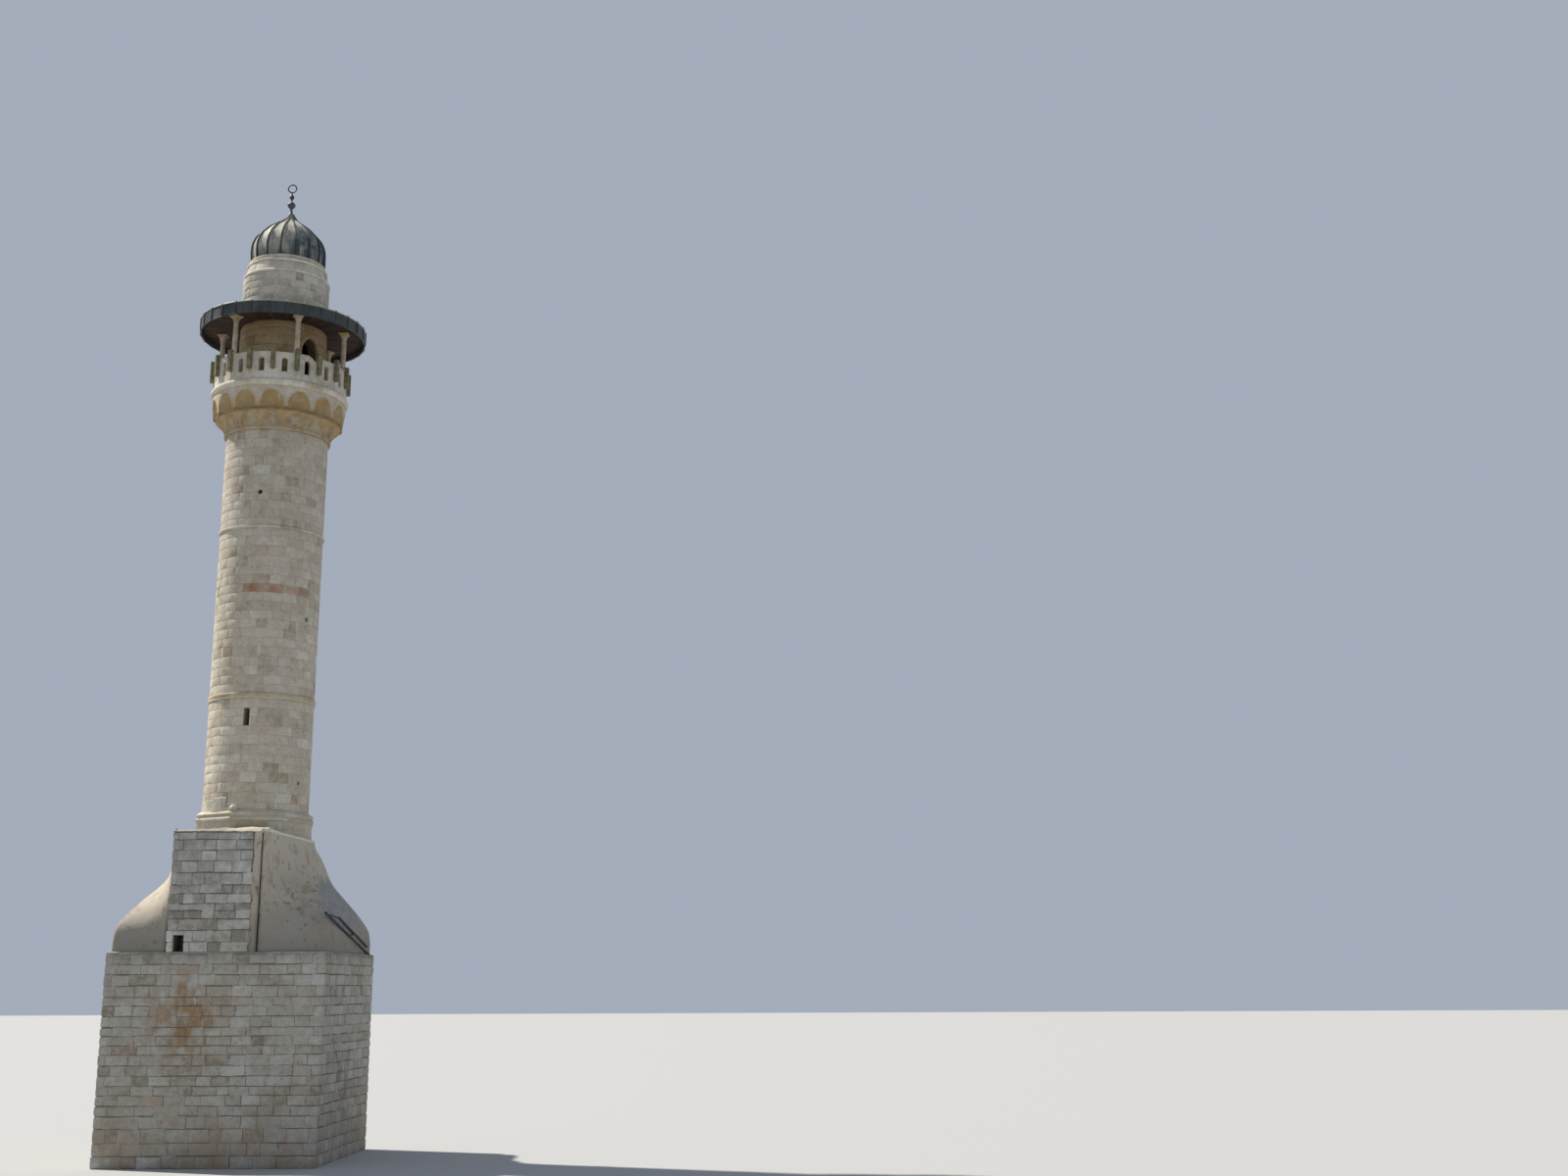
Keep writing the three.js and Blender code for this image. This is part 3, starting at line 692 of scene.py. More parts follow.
def plaster_finish():
    """Old lime plaster: soft patches, ochre and brown spots, and painted shade on the right flank, as a
    grey-blue patch.
    """
    finish = Finish("old_plaster")
    patches = [(0.3, (0.335, 0.30, 0.245)), (0.5, (0.385, 0.35, 0.292)), (0.7, (0.425, 0.395, 0.335))]
    colour = finish.ramp(finish.noise(1.4, 6, 0.6), patches)
    height = finish.axis("Z")
    colour = finish.stain(colour, PALE_PLASTER, height, 6.4, 8.4, 0.75)
    damp = finish.between(height, BASE_TOP + 0.25, BASE_TOP + 1.3, 0.85, 0)
    colour = finish.mix(damp, colour, DAMP_GREY)
    spots = finish.noise(4.2, 5, 0.55, stretch=(1, 1, 0.45))
    colour = finish.stain(colour, SPOT_BROWN, spots, 0.54, 0.67, 0.6)
    dark = finish.noise(7.5, 3, 0.5, stretch=(1, 1, 0.55))
    colour = finish.stain(colour, DARK_SPOT, dark, 0.61, 0.69, 0.75)
    # Painted shade: a grey-blue patch over the right flank, bounded by a slanting line
    ragged = finish.cloud(-0.28, 0.28, 2.2, 6, 0.65)
    flank_shade = finish.add(finish.near(FLANK_SHADE_CENTRE, 1.25, FLANK_SHADE_STRETCH), ragged)
    flank_shade = finish.between(flank_shade, 0.27, 0.34)
    across = finish.add(finish.axis("X"), finish.axis("Y"))
    across = finish.add(across, finish.times(finish.axis("Z"), FLANK_SHADE_LEAN))
    ridge = finish.between(across, *FLANK_SHADE_EDGE)
    grain = finish.between(finish.noise(6, 6, 0.7), 0.38, 0.62)
    flank_grey = finish.mix(grain, DARK_FLANK_SHADE, PALE_FLANK_SHADE)
    colour = finish.mix(finish.times(flank_shade, ridge), colour, flank_grey)
    colour = finish.scaled(colour, finish.cloud(0.86, 1.1, 30, 6, 0.65))
    finish.bump(finish.add(finish.noise(9, 6, 0.6), finish.noise(40, 4)), 0.5, 0.018)
    finish.set(Base_Color=colour, Roughness=0.95, Specular_IOR_Level=0.15)
    return finish.material


def sheet_finish(name, dark, pale, metallic, roughness, painted_light=0.0):
    """Weathered sheet metal with run-down streaks and dull patches. Its last argument lets a piece's tone
    pale it, as painted sunlight on the lit side.
    """
    finish = Finish(name)
    cloud = finish.noise(2.2, 5, 0.6)
    runs = finish.noise(9, 4, 0.55, stretch=(1, 1, 0.12))
    share = finish.add(finish.times(runs, 0.5), finish.times(cloud, 0.5))
    share = finish.between(share, 0.35, 0.65)
    if painted_light:
        paling = finish.between(finish.attribute("tone"), 0, 1, -painted_light, painted_light)
        share = finish.add(share, paling, clamp=True)
    finish.set(Base_Color=finish.mix(share, dark, pale), Metallic=metallic)
    finish.set(Roughness=finish.between(cloud, *NOISE_SPAN, roughness - 0.08, roughness + 0.1))
    finish.bump(finish.add(finish.noise(3.5, 3), finish.times(finish.noise(30, 4), 0.2)), 0.25, 0.02)
    return finish.material


def board_finish():
    """Dark stained boards, each with its own tone."""
    finish = Finish("soffit_boards")
    grain = finish.noise(26, 5, 0.6)
    tone = finish.add(finish.attribute("tone"), finish.between(grain, *NOISE_SPAN, -0.3, 0.3), clamp=True)
    stains = [(0, (0.013, 0.007, 0.006)), (0.5, (0.030, 0.015, 0.012)), (1, (0.062, 0.032, 0.023))]
    finish.set(Base_Color=finish.ramp(tone, stains), Roughness=0.8, Specular_IOR_Level=0.25)
    finish.bump(grain, 0.3, 0.006)
    return finish.material


def post_finish():
    """Olive paint, chalky and stained."""
    finish = Finish("olive_posts")
    cloud = finish.noise(6, 6, 0.65)
    paint = [(0.3, (0.09, 0.088, 0.045)), (0.5, (0.16, 0.15, 0.085)), (0.72, (0.27, 0.25, 0.16))]
    colour = finish.ramp(cloud, paint)
    runs = finish.noise(20, 4, 0.6, stretch=(1, 1, 0.15))
    colour = finish.stain(colour, POST_STAIN, runs, 0.55, 0.7, 0.5)
    finish.set(Base_Color=colour, Roughness=0.85, Specular_IOR_Level=0.25)
    finish.bump(cloud, 0.35, 0.01)
    return finish.material


old_plaster = plaster_finish()
soffit_boards = board_finish()
olive_posts = post_finish()
# Dark and pale colour, metallic and roughness of each sheet
roof_sheet = sheet_finish("roof_sheet", (0.031, 0.039, 0.038), (0.080, 0.090, 0.086), 0.5, 0.5)
dome_sheet = sheet_finish("dome_sheet", (0.046, 0.068, 0.080), (0.39, 0.385, 0.32), 0.1, 0.82, painted_light=0.5)
rib_sheet = sheet_finish("rib_sheet", (0.022, 0.030, 0.028), (0.06, 0.07, 0.062), 0.5, 0.5)
# Painted shade: the canopy's seams and lower bead are a darker sheet than the roof, for the shade along them
shaded_seam_sheet = sheet_finish("shaded_seam_sheet", (0.026, 0.035, 0.034), (0.058, 0.07, 0.066), 0.4, 0.6)
# Painted highlight: the canopy's edge, knobs and apron are a pale sheet, for the light along the top edge
highlit_edge_sheet = sheet_finish("highlit_edge_sheet", (0.20, 0.21, 0.19), (0.36, 0.36, 0.31), 0.3, 0.55)
iron = sheet_finish("dark_iron", (0.012, 0.014, 0.017), (0.034, 0.034, 0.038), 0.6, 0.6)
finial_metal = sheet_finish("finial_metal", (0.026, 0.036, 0.040), (0.10, 0.12, 0.125), 0.4, 0.55)

# The finish of the frame's nodes that stay in view
DRESSED = (
    (dark_mortar, ("base_tower", "base_block")),
    (pale_mortar, ("plinth_octagon", "transition_coping", "shaft_lower", "shaft_middle", "shaft_upper")),
    (pale_mortar, ("string_course_lower", "string_course_upper", "gallery_floor", "drum_upper")),
    (brown_mortar, ("drum_lower",)),
    (shaft_stone, ("drum_cornice",)),
    (soffit_boards, ("canopy_soffit",)),
    (roof_sheet, ("canopy_roof",)),
)
for material, nodes in DRESSED:
    for node in nodes:
        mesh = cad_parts[node].data
        mesh.materials.clear()
        mesh.materials.append(material)


# Base: courses on all four faces, the lowest ones tallest, under a thin levelling bed
LOW_COURSES = 1.3
LOW_COURSE_HEIGHT = 0.32
BED_HEIGHT = 0.045


def base_walls():
    rng = random.Random(BASE_SEED)
    half = BASE_HALF
    wall = FacetedWall([(-half, -half), (half, -half), (half, half), (-half, half)])
    foot = BASE_TOP - BED_HEIGHT
    levels = uneven_cuts(0.0, LOW_COURSES, LOW_COURSE_HEIGHT, rng)
    levels += uneven_cuts(LOW_COURSES, foot, BASE_LOOK.height, rng)[1:]
    stones = Builder()
    lay_courses(stones, wall, levels, BASE_LOOK, rng, rust=some_rust(0.04, 0.1, 0.35))
    stones.piece("base_stones", base_stone)

    bed = Builder()
    top = BASE_TOP + 0.012
    profile = [(-0.055, top + 0.01), (-0.02, top), (0.008, top - 0.014), (0.012, foot + 0.01), (0.004, foot)]
    moulding(bed, wall, profile, rng, length=0.7, joint=0.004, embed=0.056, wear=0.012, pitch=0.11)
    bed.piece("base_bed", base_stone)


base_walls()


# Block: stone on its front, a strip of plaster down its right edge, and a mortar ledge on top
LOOPHOLE = (-1.15, -0.86, 5.89)
STRIP_LEFT = 0.85
LEDGE_BACK = -1.72
LEDGE_END = -1.35
PLASTER_EDGE = 0.04
BLOCK_FRONT = -BASE_HALF
UNEVEN_COURSES = 0.3
BLOCK_QUOINS = (0.26, 0.14)
BLOCK_RETURN = 0.06
TOP_COURSE = 0.21
RAGGED_END = (-0.02, 0.06)
SPOT_ODDS = 0.03
SPOT_RUST = 0.2


def block_stones():
    rng = random.Random(BLOCK_SEED)
    stones = Builder()
    front = [(BLOCK_LEFT, BLOCK_FRONT), (BLOCK_RIGHT, BLOCK_FRONT)]
    back = [(BLOCK_RIGHT, BLOCK_BACK), (BLOCK_LEFT, BLOCK_BACK)]
    wall = FacetedWall(front + back)
    limit = STRIP_LEFT - BLOCK_LEFT
    left, right, top = LOOPHOLE
    loophole = (left - BLOCK_LEFT + wall.length, right - BLOCK_LEFT + wall.length, BASE_TOP - 0.1, top)
    levels = uneven_cuts(BASE_TOP, BLOCK_TOP - TOP_COURSE, BLOCK_LOOK.height, rng, UNEVEN_COURSES)
    levels.append(BLOCK_TOP - 0.01)
    for course, (bottom, head) in enumerate(zip(levels, levels[1:])):
        quoin = BLOCK_QUOINS[course % 2]
        row = split(quoin, limit - rng.uniform(*RAGGED_END), BLOCK_LOOK, rng)
        for start, end in [(-BLOCK_RETURN, quoin), *row]:
            tone = clamp(rng.gauss(0.5, BLOCK_LOOK.variety))
            spot = SPOT_RUST if rng.random() < SPOT_ODDS else 0.0
            for part in clear_of([loophole], start + wall.length, end + wall.length, bottom, head):
                lay_stone(stones, wall, *part, BLOCK_LOOK, rng, tone, spot)
    stones.piece("block_stones", block_stone)


def block_plaster():
    strip = Builder()
    edge = BLOCK_RIGHT + PLASTER_EDGE
    loops = []
    for v in spaced(BASE_TOP + 0.01, BLOCK_TOP + 0.03, 0.05):
        left = STRIP_LEFT + 0.05 * wavy(0, v, 3, 3.5) + 0.02 * wavy(0, v, 3, 11)
        bulge = 0.012 * wavy(1, v, 3, 1.3)
        section = [
            (left, 0.01), (left, -0.012), (left + 0.03, -0.024 - bulge), (BLOCK_RIGHT - 0.05, -0.022 - bulge),
            (BLOCK_RIGHT + 0.01, -0.016 - bulge), (edge - 0.004, 0.02), (edge + 0.004, 0.08),
            (BLOCK_RIGHT, 0.12), (BLOCK_RIGHT - 0.1, 0.01),
        ]
        loops.append([(x, BLOCK_FRONT + y, v) for x, y in section])
    loft(strip, loops)
    strip.piece("block_plaster", old_plaster)


def block_ledge():
    ledge = Builder()
    loops = []
    for x in spaced(BLOCK_LEFT - 0.03, BLOCK_RIGHT + 0.05, 0.04):
        lip = BLOCK_FRONT - 0.03 - 0.02 * wavy(x, 1, 0, 6)
        skirt = BLOCK_TOP - 0.005 + 0.02 * wavy(x, 9, 0, 5)
        loop = [(x, lip, skirt), (x, lip - 0.006, skirt + 0.02)]
        climb = 0.02 + 0.04 * (x - BLOCK_LEFT) / (BLOCK_RIGHT - BLOCK_LEFT)
        for y in spaced(BLOCK_FRONT + 0.04, LEDGE_BACK, 0.15):
            rise = climb + 0.15 * (y - BLOCK_FRONT) / (LEDGE_BACK - BLOCK_FRONT)
            loop.append((x, y, BLOCK_TOP + rise + 0.05 * wavy(x, y, 0, 1.7) + 0.03 * wavy(x, y, 3, 4.5)))
        for y, rise in ((BLOCK_BACK, 0.03), (LEDGE_END, -0.035), (LEDGE_END, -0.1)):
            loop.append((x, y, BLOCK_TOP + rise))
        loops.append(loop)
    loft(ledge, loops, flip=True)
    ledge.piece("block_ledge", ledge_mortar)


block_stones()
block_plaster()
block_ledge()


# Transition: lime plaster drawn in from the square to the plinth, with soft ridges and a hand-laid surface.
# Its top edge climbs to the block on both sides, under a lip of mortar.
TRANSITION_FOOT = 2.8
TRANSITION_HEAD = 1.79
TRANSITION_SPREAD = [
    (5.45, 1), (5.95, 0.985), (6.25, 0.92), (6.6, 0.77), (7.0, 0.565), (7.3, 0.4), (7.6, 0.28), (8.0, 0.175),
    (8.5, 0),
]
PLINTH_TURN = -7.4
PLASTER_CURVE = smooth_curve(TRANSITION_SPREAD)
PLASTER_BACK = -2.1
PLASTER_ROWS = 48
PLASTER_INNER = 1.62
PLASTER_RELIEF = ((0.022, 0.9), (0.009, 3.5), (0.003, 13))
LIP_RISE = 0.16
FLANK_STEPS = 30
HIDDEN_STEPS = 16
# Steps along each side of the plaster's outline, and the share by which the top edge climbs at its two ends
PLASTER_SIDES = [
    (FLANK_STEPS, 1, 0), (64, 0, 0), (32, 0, 0), (32, 0, 0), (64, 0, 0), (FLANK_STEPS, 0, 1),
    (6, 1, 1), (4, 1, 1), (6, 1, 1),
]


def octagon(radius):
    return [turned_point(radius, PLINTH_TURN + 45 * side, 0)[:2] for side in range(8)]


def plaster_corners(level):
    """Its corners at a level, from the block's right edge round the back to the left, then in the block."""
    reach = TRANSITION_FOOT
    right = BLOCK_RIGHT + PLASTER_EDGE
    left = BLOCK_LEFT - PLASTER_EDGE
    foot = [(right, -reach), (reach, -reach), (reach, reach), (0, reach), (-reach, reach), (-reach, -reach)]
    foot.append((left, -reach))
    head = [(right, PLASTER_EDGE - reach), *octagon(TRANSITION_HEAD)[2:7], (left, PLASTER_EDGE - reach)]
    inside = [(left + 0.1, PLASTER_BACK), (right - 0.1, PLASTER_BACK)]
    spread = along_profile(PLASTER_CURVE, level)
    return [Vector(end).lerp(Vector(start), spread) for start, end in zip(foot + inside, head + inside)]


def plaster_points(level):
    """Points along the outline at a level, each with the share by which the top edge climbs there."""
    corners = plaster_corners(level)
    points = []
    for (count, first, last), start, end in zip(PLASTER_SIDES, corners, shifted(corners)):
        for step in range(count):
            share = step / count
            points.append((*start.lerp(end, share), first + (last - first) * share))
    for _ in range(3):
        triples = zip(points[-1:] + points, points, shifted(points))
        points = [tuple((a + 2 * b + c) / 4 for a, b, c in zip(*triple)) for triple in triples]
    return points


def transition_skin():
    loops = []
    for row in range(PLASTER_ROWS + 1):
        share = row / PLASTER_ROWS
        points = []
        for x, y, climb in plaster_points(BASE_TOP + share * (TRANSITION_TOP - BASE_TOP)):
            height = BASE_TOP + share * (TRANSITION_TOP + LIP_RISE * climb - BASE_TOP)
            relief = sum(depth * wavy(x, y, height, frequency) for depth, frequency in PLASTER_RELIEF)
            away = Vector((x, y)).normalized() * relief
            points.append((x + away.x, y + away.y, height))
        loops.append(points)
    inner = []
    for x, y, height in loops[-1]:
        scale = PLASTER_INNER / math.hypot(x, y)
        inner.append((x * scale, y * scale, TRANSITION_TOP + 0.01))
    skin = Builder()
    loft(skin, [*loops, inner])
    skin.piece("transition_plaster", old_plaster, ["transition"])


def transition_lip():
    lip = Builder()
    edge = plaster_points(TRANSITION_TOP)
    flanks = (edge[:FLANK_STEPS + 1], edge[-FLANK_STEPS - HIDDEN_STEPS:1 - HIDDEN_STEPS])
    for path in flanks:
        loops = []
        for x, y, climb in path:
            outward = Vector((x, y)).normalized()
            thick = 0.044 + 0.016 * wavy(x, y, 3, 3)
            level = TRANSITION_TOP + LIP_RISE * climb + 0.012 + 0.012 * wavy(x, y, 7, 2.2)
            loop = []
            for angle in turns(10):
                reach = thick * math.cos(angle) - 0.012
                loop.append((x + outward.x * reach, y + outward.y * reach, level + thick * math.sin(angle)))
            loops.append(loop)
        loft(lip, loops)
    lip.piece("transition_lip", sunlit_lip_mortar, sharp=60)


transition_skin()
transition_lip()


# Rails: two dark bars on the right-hand slope, tied at their front ends and halfway along
LOW_RAIL = (Vector((2.771, -2.59, 6.47)), Vector((2.847, 2.6, 5.42)))
HIGH_RAIL = (Vector((2.77, -1.1, 6.39)), Vector((2.834, 2.11, 5.69)))
# Where each tie meets the low and the high rail, as a share of its length
RAIL_TIES = ((0.023, 0.02), (0.497, 0.55))
RAIL_RADIUS = 0.033
TIE_RADIUS = 0.022
RAIL_SIDES = 12


def bar(builder, start, end, radius):
    along = (end - start).normalized()
    side = along.cross(Vector((0, 0, 1))).normalized()
    up = side.cross(along)
    section = [(side * math.cos(turn) + up * math.sin(turn)) * radius for turn in turns(RAIL_SIDES)]
    loft(builder, [[tuple(centre + offset) for offset in section] for centre in (start, end)], flip=True)


def rails():
    bars = Builder()
    for rail in (LOW_RAIL, HIGH_RAIL):
        bar(bars, *rail, RAIL_RADIUS)
    for low_share, high_share in RAIL_TIES:
        start = LOW_RAIL[0].lerp(LOW_RAIL[1], low_share)
        end = HIGH_RAIL[0].lerp(HIGH_RAIL[1], high_share)
        bar(bars, start, end, TIE_RADIUS)
    bars.piece("rails", iron, ["slope_rails"])


rails()


# Coping and plinth, with the remains of an upper course: a broken slab, a knob and a low course
PLINTH_FACE = 1.67
PLINTH_FACE_TOP = 9.01
BROWN_PLINTH = (0.2, 1.2)
BROWN_PLINTH_RUST = 0.55
# Start and end azimuth, foot and top from the plinth's top, reach, tone and roughness of the top
REMAINS = (
    (-62, -34, -0.02, 0.30, 0.045, 0.3, 0.02),
    (-34, -17, -0.02, 0.36, 0.06, 0.4, 0.02),
    (-17, -9, -0.02, 0.12, 0.06, 0.35, 0.02),
    (-9, 60, -0.02, 0.045, 0.035, 0.1, 0.012),
    (-10.5, -2, -0.1, 0.045, 0.15, 0.4, 0.02),
)
# Azimuth, rise over the plinth's top and reach of the knob, and its (radius, rise) points
KNOB = (-6.5, 0.1, 0.11)
KNOB_PROFILE = [(0.09, -0.09), (0.13, -0.05), (0.12, -0.02), (0.085, 0.02), (0.05, 0.04)]


def plinth_stones():
    rng = random.Random(PLINTH_SEED)
    wall = FacetedWall(octagon(PLINTH_FACE))
    levels = uneven_cuts(COPING_TOP, PLINTH_FACE_TOP, PLINTH_LOOK.height, rng)

    def rust(u, v, rng):
        return BROWN_PLINTH_RUST if v > levels[-2] and BROWN_PLINTH[0] < u < BROWN_PLINTH[1] else 0.0

    faces = Builder()
    lay_courses(faces, wall, levels, PLINTH_LOOK, rng, rust=rust)
    faces.piece("plinth_stones", plinth_stone)

    rolls = Builder()
    foot = PLINTH_FACE_TOP
    profile = [(-0.035, foot + 0.125), *rolled(foot + 0.055, 0.045, 0.045, 0.004), (0.0, foot + 0.002)]
    moulding(rolls, wall, profile, rng, length=0.55, rust=0.1)
    profile = [(-0.115, PLINTH_TOP + 0.004), (-0.06, foot + 0.262), *rolled(foot + 0.19, 0.034, 0.03, -0.012)]
    moulding(rolls, wall, profile, rng, length=0.5, rust=0.1, embed=0.14)
    rolls.piece("plinth_mouldings", pale_stone)


def plinth_remains():
    remains = Builder()
    wall = RoundWall(SHAFT_RADIUS)
    for start, end, foot, head, proud, tone, ragged in REMAINS:
        bottom = PLINTH_TOP + foot
        top = PLINTH_TOP + head
        columns = spaced(wall.along(start), wall.along(end), 0.05)
        loops = []
        for u in columns:
            crest = top + ragged * wavy(u, top, 2, 4) - (0.02 if u in (columns[0], columns[-1]) else 0)
            face = proud + 0.008 * wavy(u, 0, bottom, 5)
            section = [
                (bottom, -0.02), (bottom, face), ((bottom + crest) / 2, face), (crest - 0.012, face),
                (crest, face - 0.015), (crest + 0.01, -0.02),
            ]
            loops.append([wall.place(u, v, w) for v, w in section])
        loft(remains, loops, flip=True, tone=tone)
    azimuth, rise, proud = KNOB
    x, y, z = wall.place(wall.along(azimuth), PLINTH_TOP + rise, proud)
    lathe(remains, [(radius, z + up) for radius, up in KNOB_PROFILE], sides=7, centre=(x, y), tone=0.6)
    remains.piece("plinth_remains", pale_stone, sharp=30)


plinth_stones()
plinth_remains()


# Shaft. Its openings give azimuth, bottom, width and height
SLIT = (0, 11.65, 0.17, 0.5)
SMALL_HOLE = (66, 10.08, 0.1, 0.1)
VENT_RIGHT = (65, 14.735, 0.15, 0.15)
VENT_FRONT = (0, 18.305, 0.15, 0.15)
RED_COURSE = (15.45, 15.70)
RED_AZIMUTHS = (-6, 69)
RED_STONE = (15.70, 15.97)
RED_STONE_AZIMUTHS = (7, 19)
RED_RUST = (0.75, 0.95)
RED_FADE = 0.006
RED_STONE_RUST = 0.35


def shaft_stones():
    rng = random.Random(SHAFT_SEED)
    stones = Builder()
    wall = RoundWall(SHAFT_RADIUS)
    openings = [wall.opening(*opening) for opening in (SLIT, SMALL_HOLE, VENT_RIGHT, VENT_FRONT)]
    spots = some_rust(0.04, 0.1, 0.3)

    def rust(u, v, rng):
        azimuth = math.degrees(u / wall.radius)
        if RED_COURSE[0] < v < RED_COURSE[1] and RED_AZIMUTHS[0] < azimuth < RED_AZIMUTHS[1]:
            return rng.uniform(*RED_RUST) - RED_FADE * azimuth
        if RED_STONE[0] < v < RED_STONE[1] and RED_STONE_AZIMUTHS[0] < azimuth < RED_STONE_AZIMUTHS[1]:
            return RED_STONE_RUST
        return spots(u, v, rng)

    def courses(bottom, top):
        return uneven_cuts(bottom, top, SHAFT_LOOK.height, rng)

    def lay(levels):
        lay_courses(stones, wall, levels, SHAFT_LOOK, rng, openings, rust)

    lay(courses(PLINTH_TOP, SLIT[1]) + courses(SLIT[1], LOWER_COURSE)[1:])
    lay(courses(LOWER_COURSE_TOP, RED_COURSE[0]) + [RED_COURSE[1]] + courses(RED_STONE[1], UPPER_COURSE))
    lay(courses(UPPER_COURSE_TOP, SHAFT_TOP))
    stones.piece("shaft_stones", shaft_stone)


def string_courses():
    rng = random.Random(STRING_SEED)
    courses = Builder()
    wall = RoundWall(SHAFT_RADIUS)
    reach = COURSE_RADIUS - SHAFT_RADIUS + 0.012
    top = LOWER_COURSE_TOP
    foot = LOWER_COURSE
    profile = [
        (0, top + 0.02), (reach - 0.012, top + 0.006), (reach, top - 0.01), (reach, top - 0.045),
        (reach - 0.004, top - 0.075), (reach - 0.018, foot + 0.035), (0.012, foot + 0.004), (0, foot - 0.004),
    ]
    moulding(courses, wall, profile, rng, length=0.55, joint=0.006, rust=0.55, embed=0.02)
    top = UPPER_COURSE_TOP
    foot = UPPER_COURSE
    profile = [
        (0, top + 0.012), (reach - 0.01, top + 0.004), (reach, top - 0.014), (reach, foot + 0.018),
        (reach - 0.012, foot + 0.002), (0, foot - 0.006),
    ]
    moulding(courses, wall, profile, rng, length=0.6, joint=0.006, rust=0.35, embed=0.02)
    courses.piece("string_courses", pale_stone)


shaft_stones()
string_courses()


# Corbel: two tiers of concave niches under arches, on a body that flares out to the gallery
NICHES = 15
NICHE_AZIMUTH = 9
NICHE_ANGLE = 360 / NICHES
NICHE_STEPS = 9
TIER_ROWS = 34
SHADED_EDGE_ROWS = 3
NARROWEST = 0.03
LOWER_FOOT = 20.38
LOWER_HEIGHT = 0.36
UPPER_HEIGHT = 0.53
LOWER_BACK = 1.495
LOWER_FLARE = 0.11
UPPER_DEPTH = 0.2
LOWER_TIER = [
    (SHAFT_TOP, 1.50), (20.29, 1.522), (20.32, 1.522), (20.35, 1.505), (20.45, 1.53), (20.56, 1.592),
    (20.66, 1.675), (20.74, 1.775), (20.755, 1.795), (CORBEL_MIDDLE, 1.795),
]
UPPER_TIER = [(CORBEL_MIDDLE, 1.85), (21.33, 1.90), (CORBEL_TOP, 1.90)]
# How ochre a tier is inside a niche, beside one, and between them at the foot and at the head
LOWER_STAINS = (0.12, 0.75, 0.35, 0.7)
UPPER_STAINS = (0.95, 0.75, 0.8, 0.05)


def lower_hollow(share):
    body = along_profile(LOWER_TIER, LOWER_FOOT + LOWER_HEIGHT * share)
    back = LOWER_BACK + LOWER_FLARE * share ** 3
    return max(0, body - back) * math.sqrt(max(0, 1 - share ** 6))


def upper_hollow(share):
    return UPPER_DEPTH * math.sqrt(max(0, 1 - share ** 2.6))


def arch_half(share, half, spring):
    """Half the width of a slightly pointed arch at a share of its height."""
    if share <= spring:
        return half
    rise = (share - spring) / (1 - spring)
    return half * max(1 - rise ** 1.9, 0) ** 0.62


def corbel_tier(node, profile, foot, height, half, spring, hollow, stains, tone):
    """One tier as a ring, with niches of a height and half width from a foot up.

    hollow gives how deep a niche is cut at a share of its height, in its middle.
    """
    within, beside, low_stain, high_stain = stains
    bottom = profile[0][0]
    top = profile[-1][0]
    inside = [math.sin(math.pi / 2 * step / NICHE_STEPS) for step in range(-NICHE_STEPS, NICHE_STEPS + 1)]
    outside = [0.01, 0.2, 0.4, 0.6, 0.8, 0.99]
    loops = []
    rusts = []
    tones = []
    for row in range(TIER_ROWS + 1):
        level = bottom + (top - bottom) * row / TIER_ROWS
        radius = along_profile(profile, level)
        share = (level - foot) / height
        between = low_stain + (high_stain - low_stain) * min(1, 1.6 * row / TIER_ROWS)
        # The rows where the two tiers meet are painted dark: partly dirt, partly painted shade under the
        # upper tier
        shaded_edge_row = row < SHADED_EDGE_ROWS if low_stain > high_stain else row >= TIER_ROWS - SHADED_EDGE_ROWS
        cut = 0 <= share < 1
        width = max(arch_half(clamp(share), half, spring) if share < 1 else 0.0, NARROWEST)
        gap = 2 * math.radians(NICHE_ANGLE / 2) * radius - 2 * width
        loop = []
        for niche in range(NICHES):
            centre = NICHE_AZIMUTH + NICHE_ANGLE * niche
            for place in inside:
                depth = hollow(share) * math.sqrt(max(0, 1 - place * place)) if cut else 0
                step = 0.018 if cut and abs(place) > 0.999 else 0
                azimuth = centre + math.degrees(place * width / radius)
                hood = within + (beside - within) * abs(place) ** 3 + 0.3 * wavy(azimuth, level, 0, 0.35)
                rusts.append(hood if cut else between)
                loop.append(turned_point(radius - depth - step, azimuth, level))
            for place in outside:
                azimuth = centre + math.degrees((width + gap * place) / radius)
                rough = 0.006 * wavy(azimuth, level, 2, 0.5)
                loop.append(turned_point(radius + 0.004 + rough, azimuth, level))
                near = beside if cut and place in (0.01, 0.99) else between
                rusts.append((near + 0.5 * max(0, wavy(azimuth, level, 4, 0.3))) * (0.5 if shaded_edge_row else 1))
        tones.extend([0.0 if shaded_edge_row else tone] * len(loop))
        loops.append(loop)
    count = len(loops[0])
    loops += [ring(WELL_RADIUS, level, count) for level in (top, bottom)]
    rusts.extend([0.2] * 2 * count)
    tones.extend([tone] * 2 * count)
    tier = Builder()
    loft(tier, loops, wrap=True, tone=tones, rust=rusts)
    tier.piece(node + "_carving", corbel_stone, [node], sharp=50)


corbel_tier(
    "corbel_lower", LOWER_TIER, LOWER_FOOT, LOWER_HEIGHT, half=0.285, spring=0.15, hollow=lower_hollow,
    stains=LOWER_STAINS, tone=0.25,
)
corbel_tier(
    "corbel_upper", UPPER_TIER, CORBEL_MIDDLE, UPPER_HEIGHT, half=0.315, spring=0.3, hollow=upper_hollow,
    stains=UPPER_STAINS, tone=0.6,
)


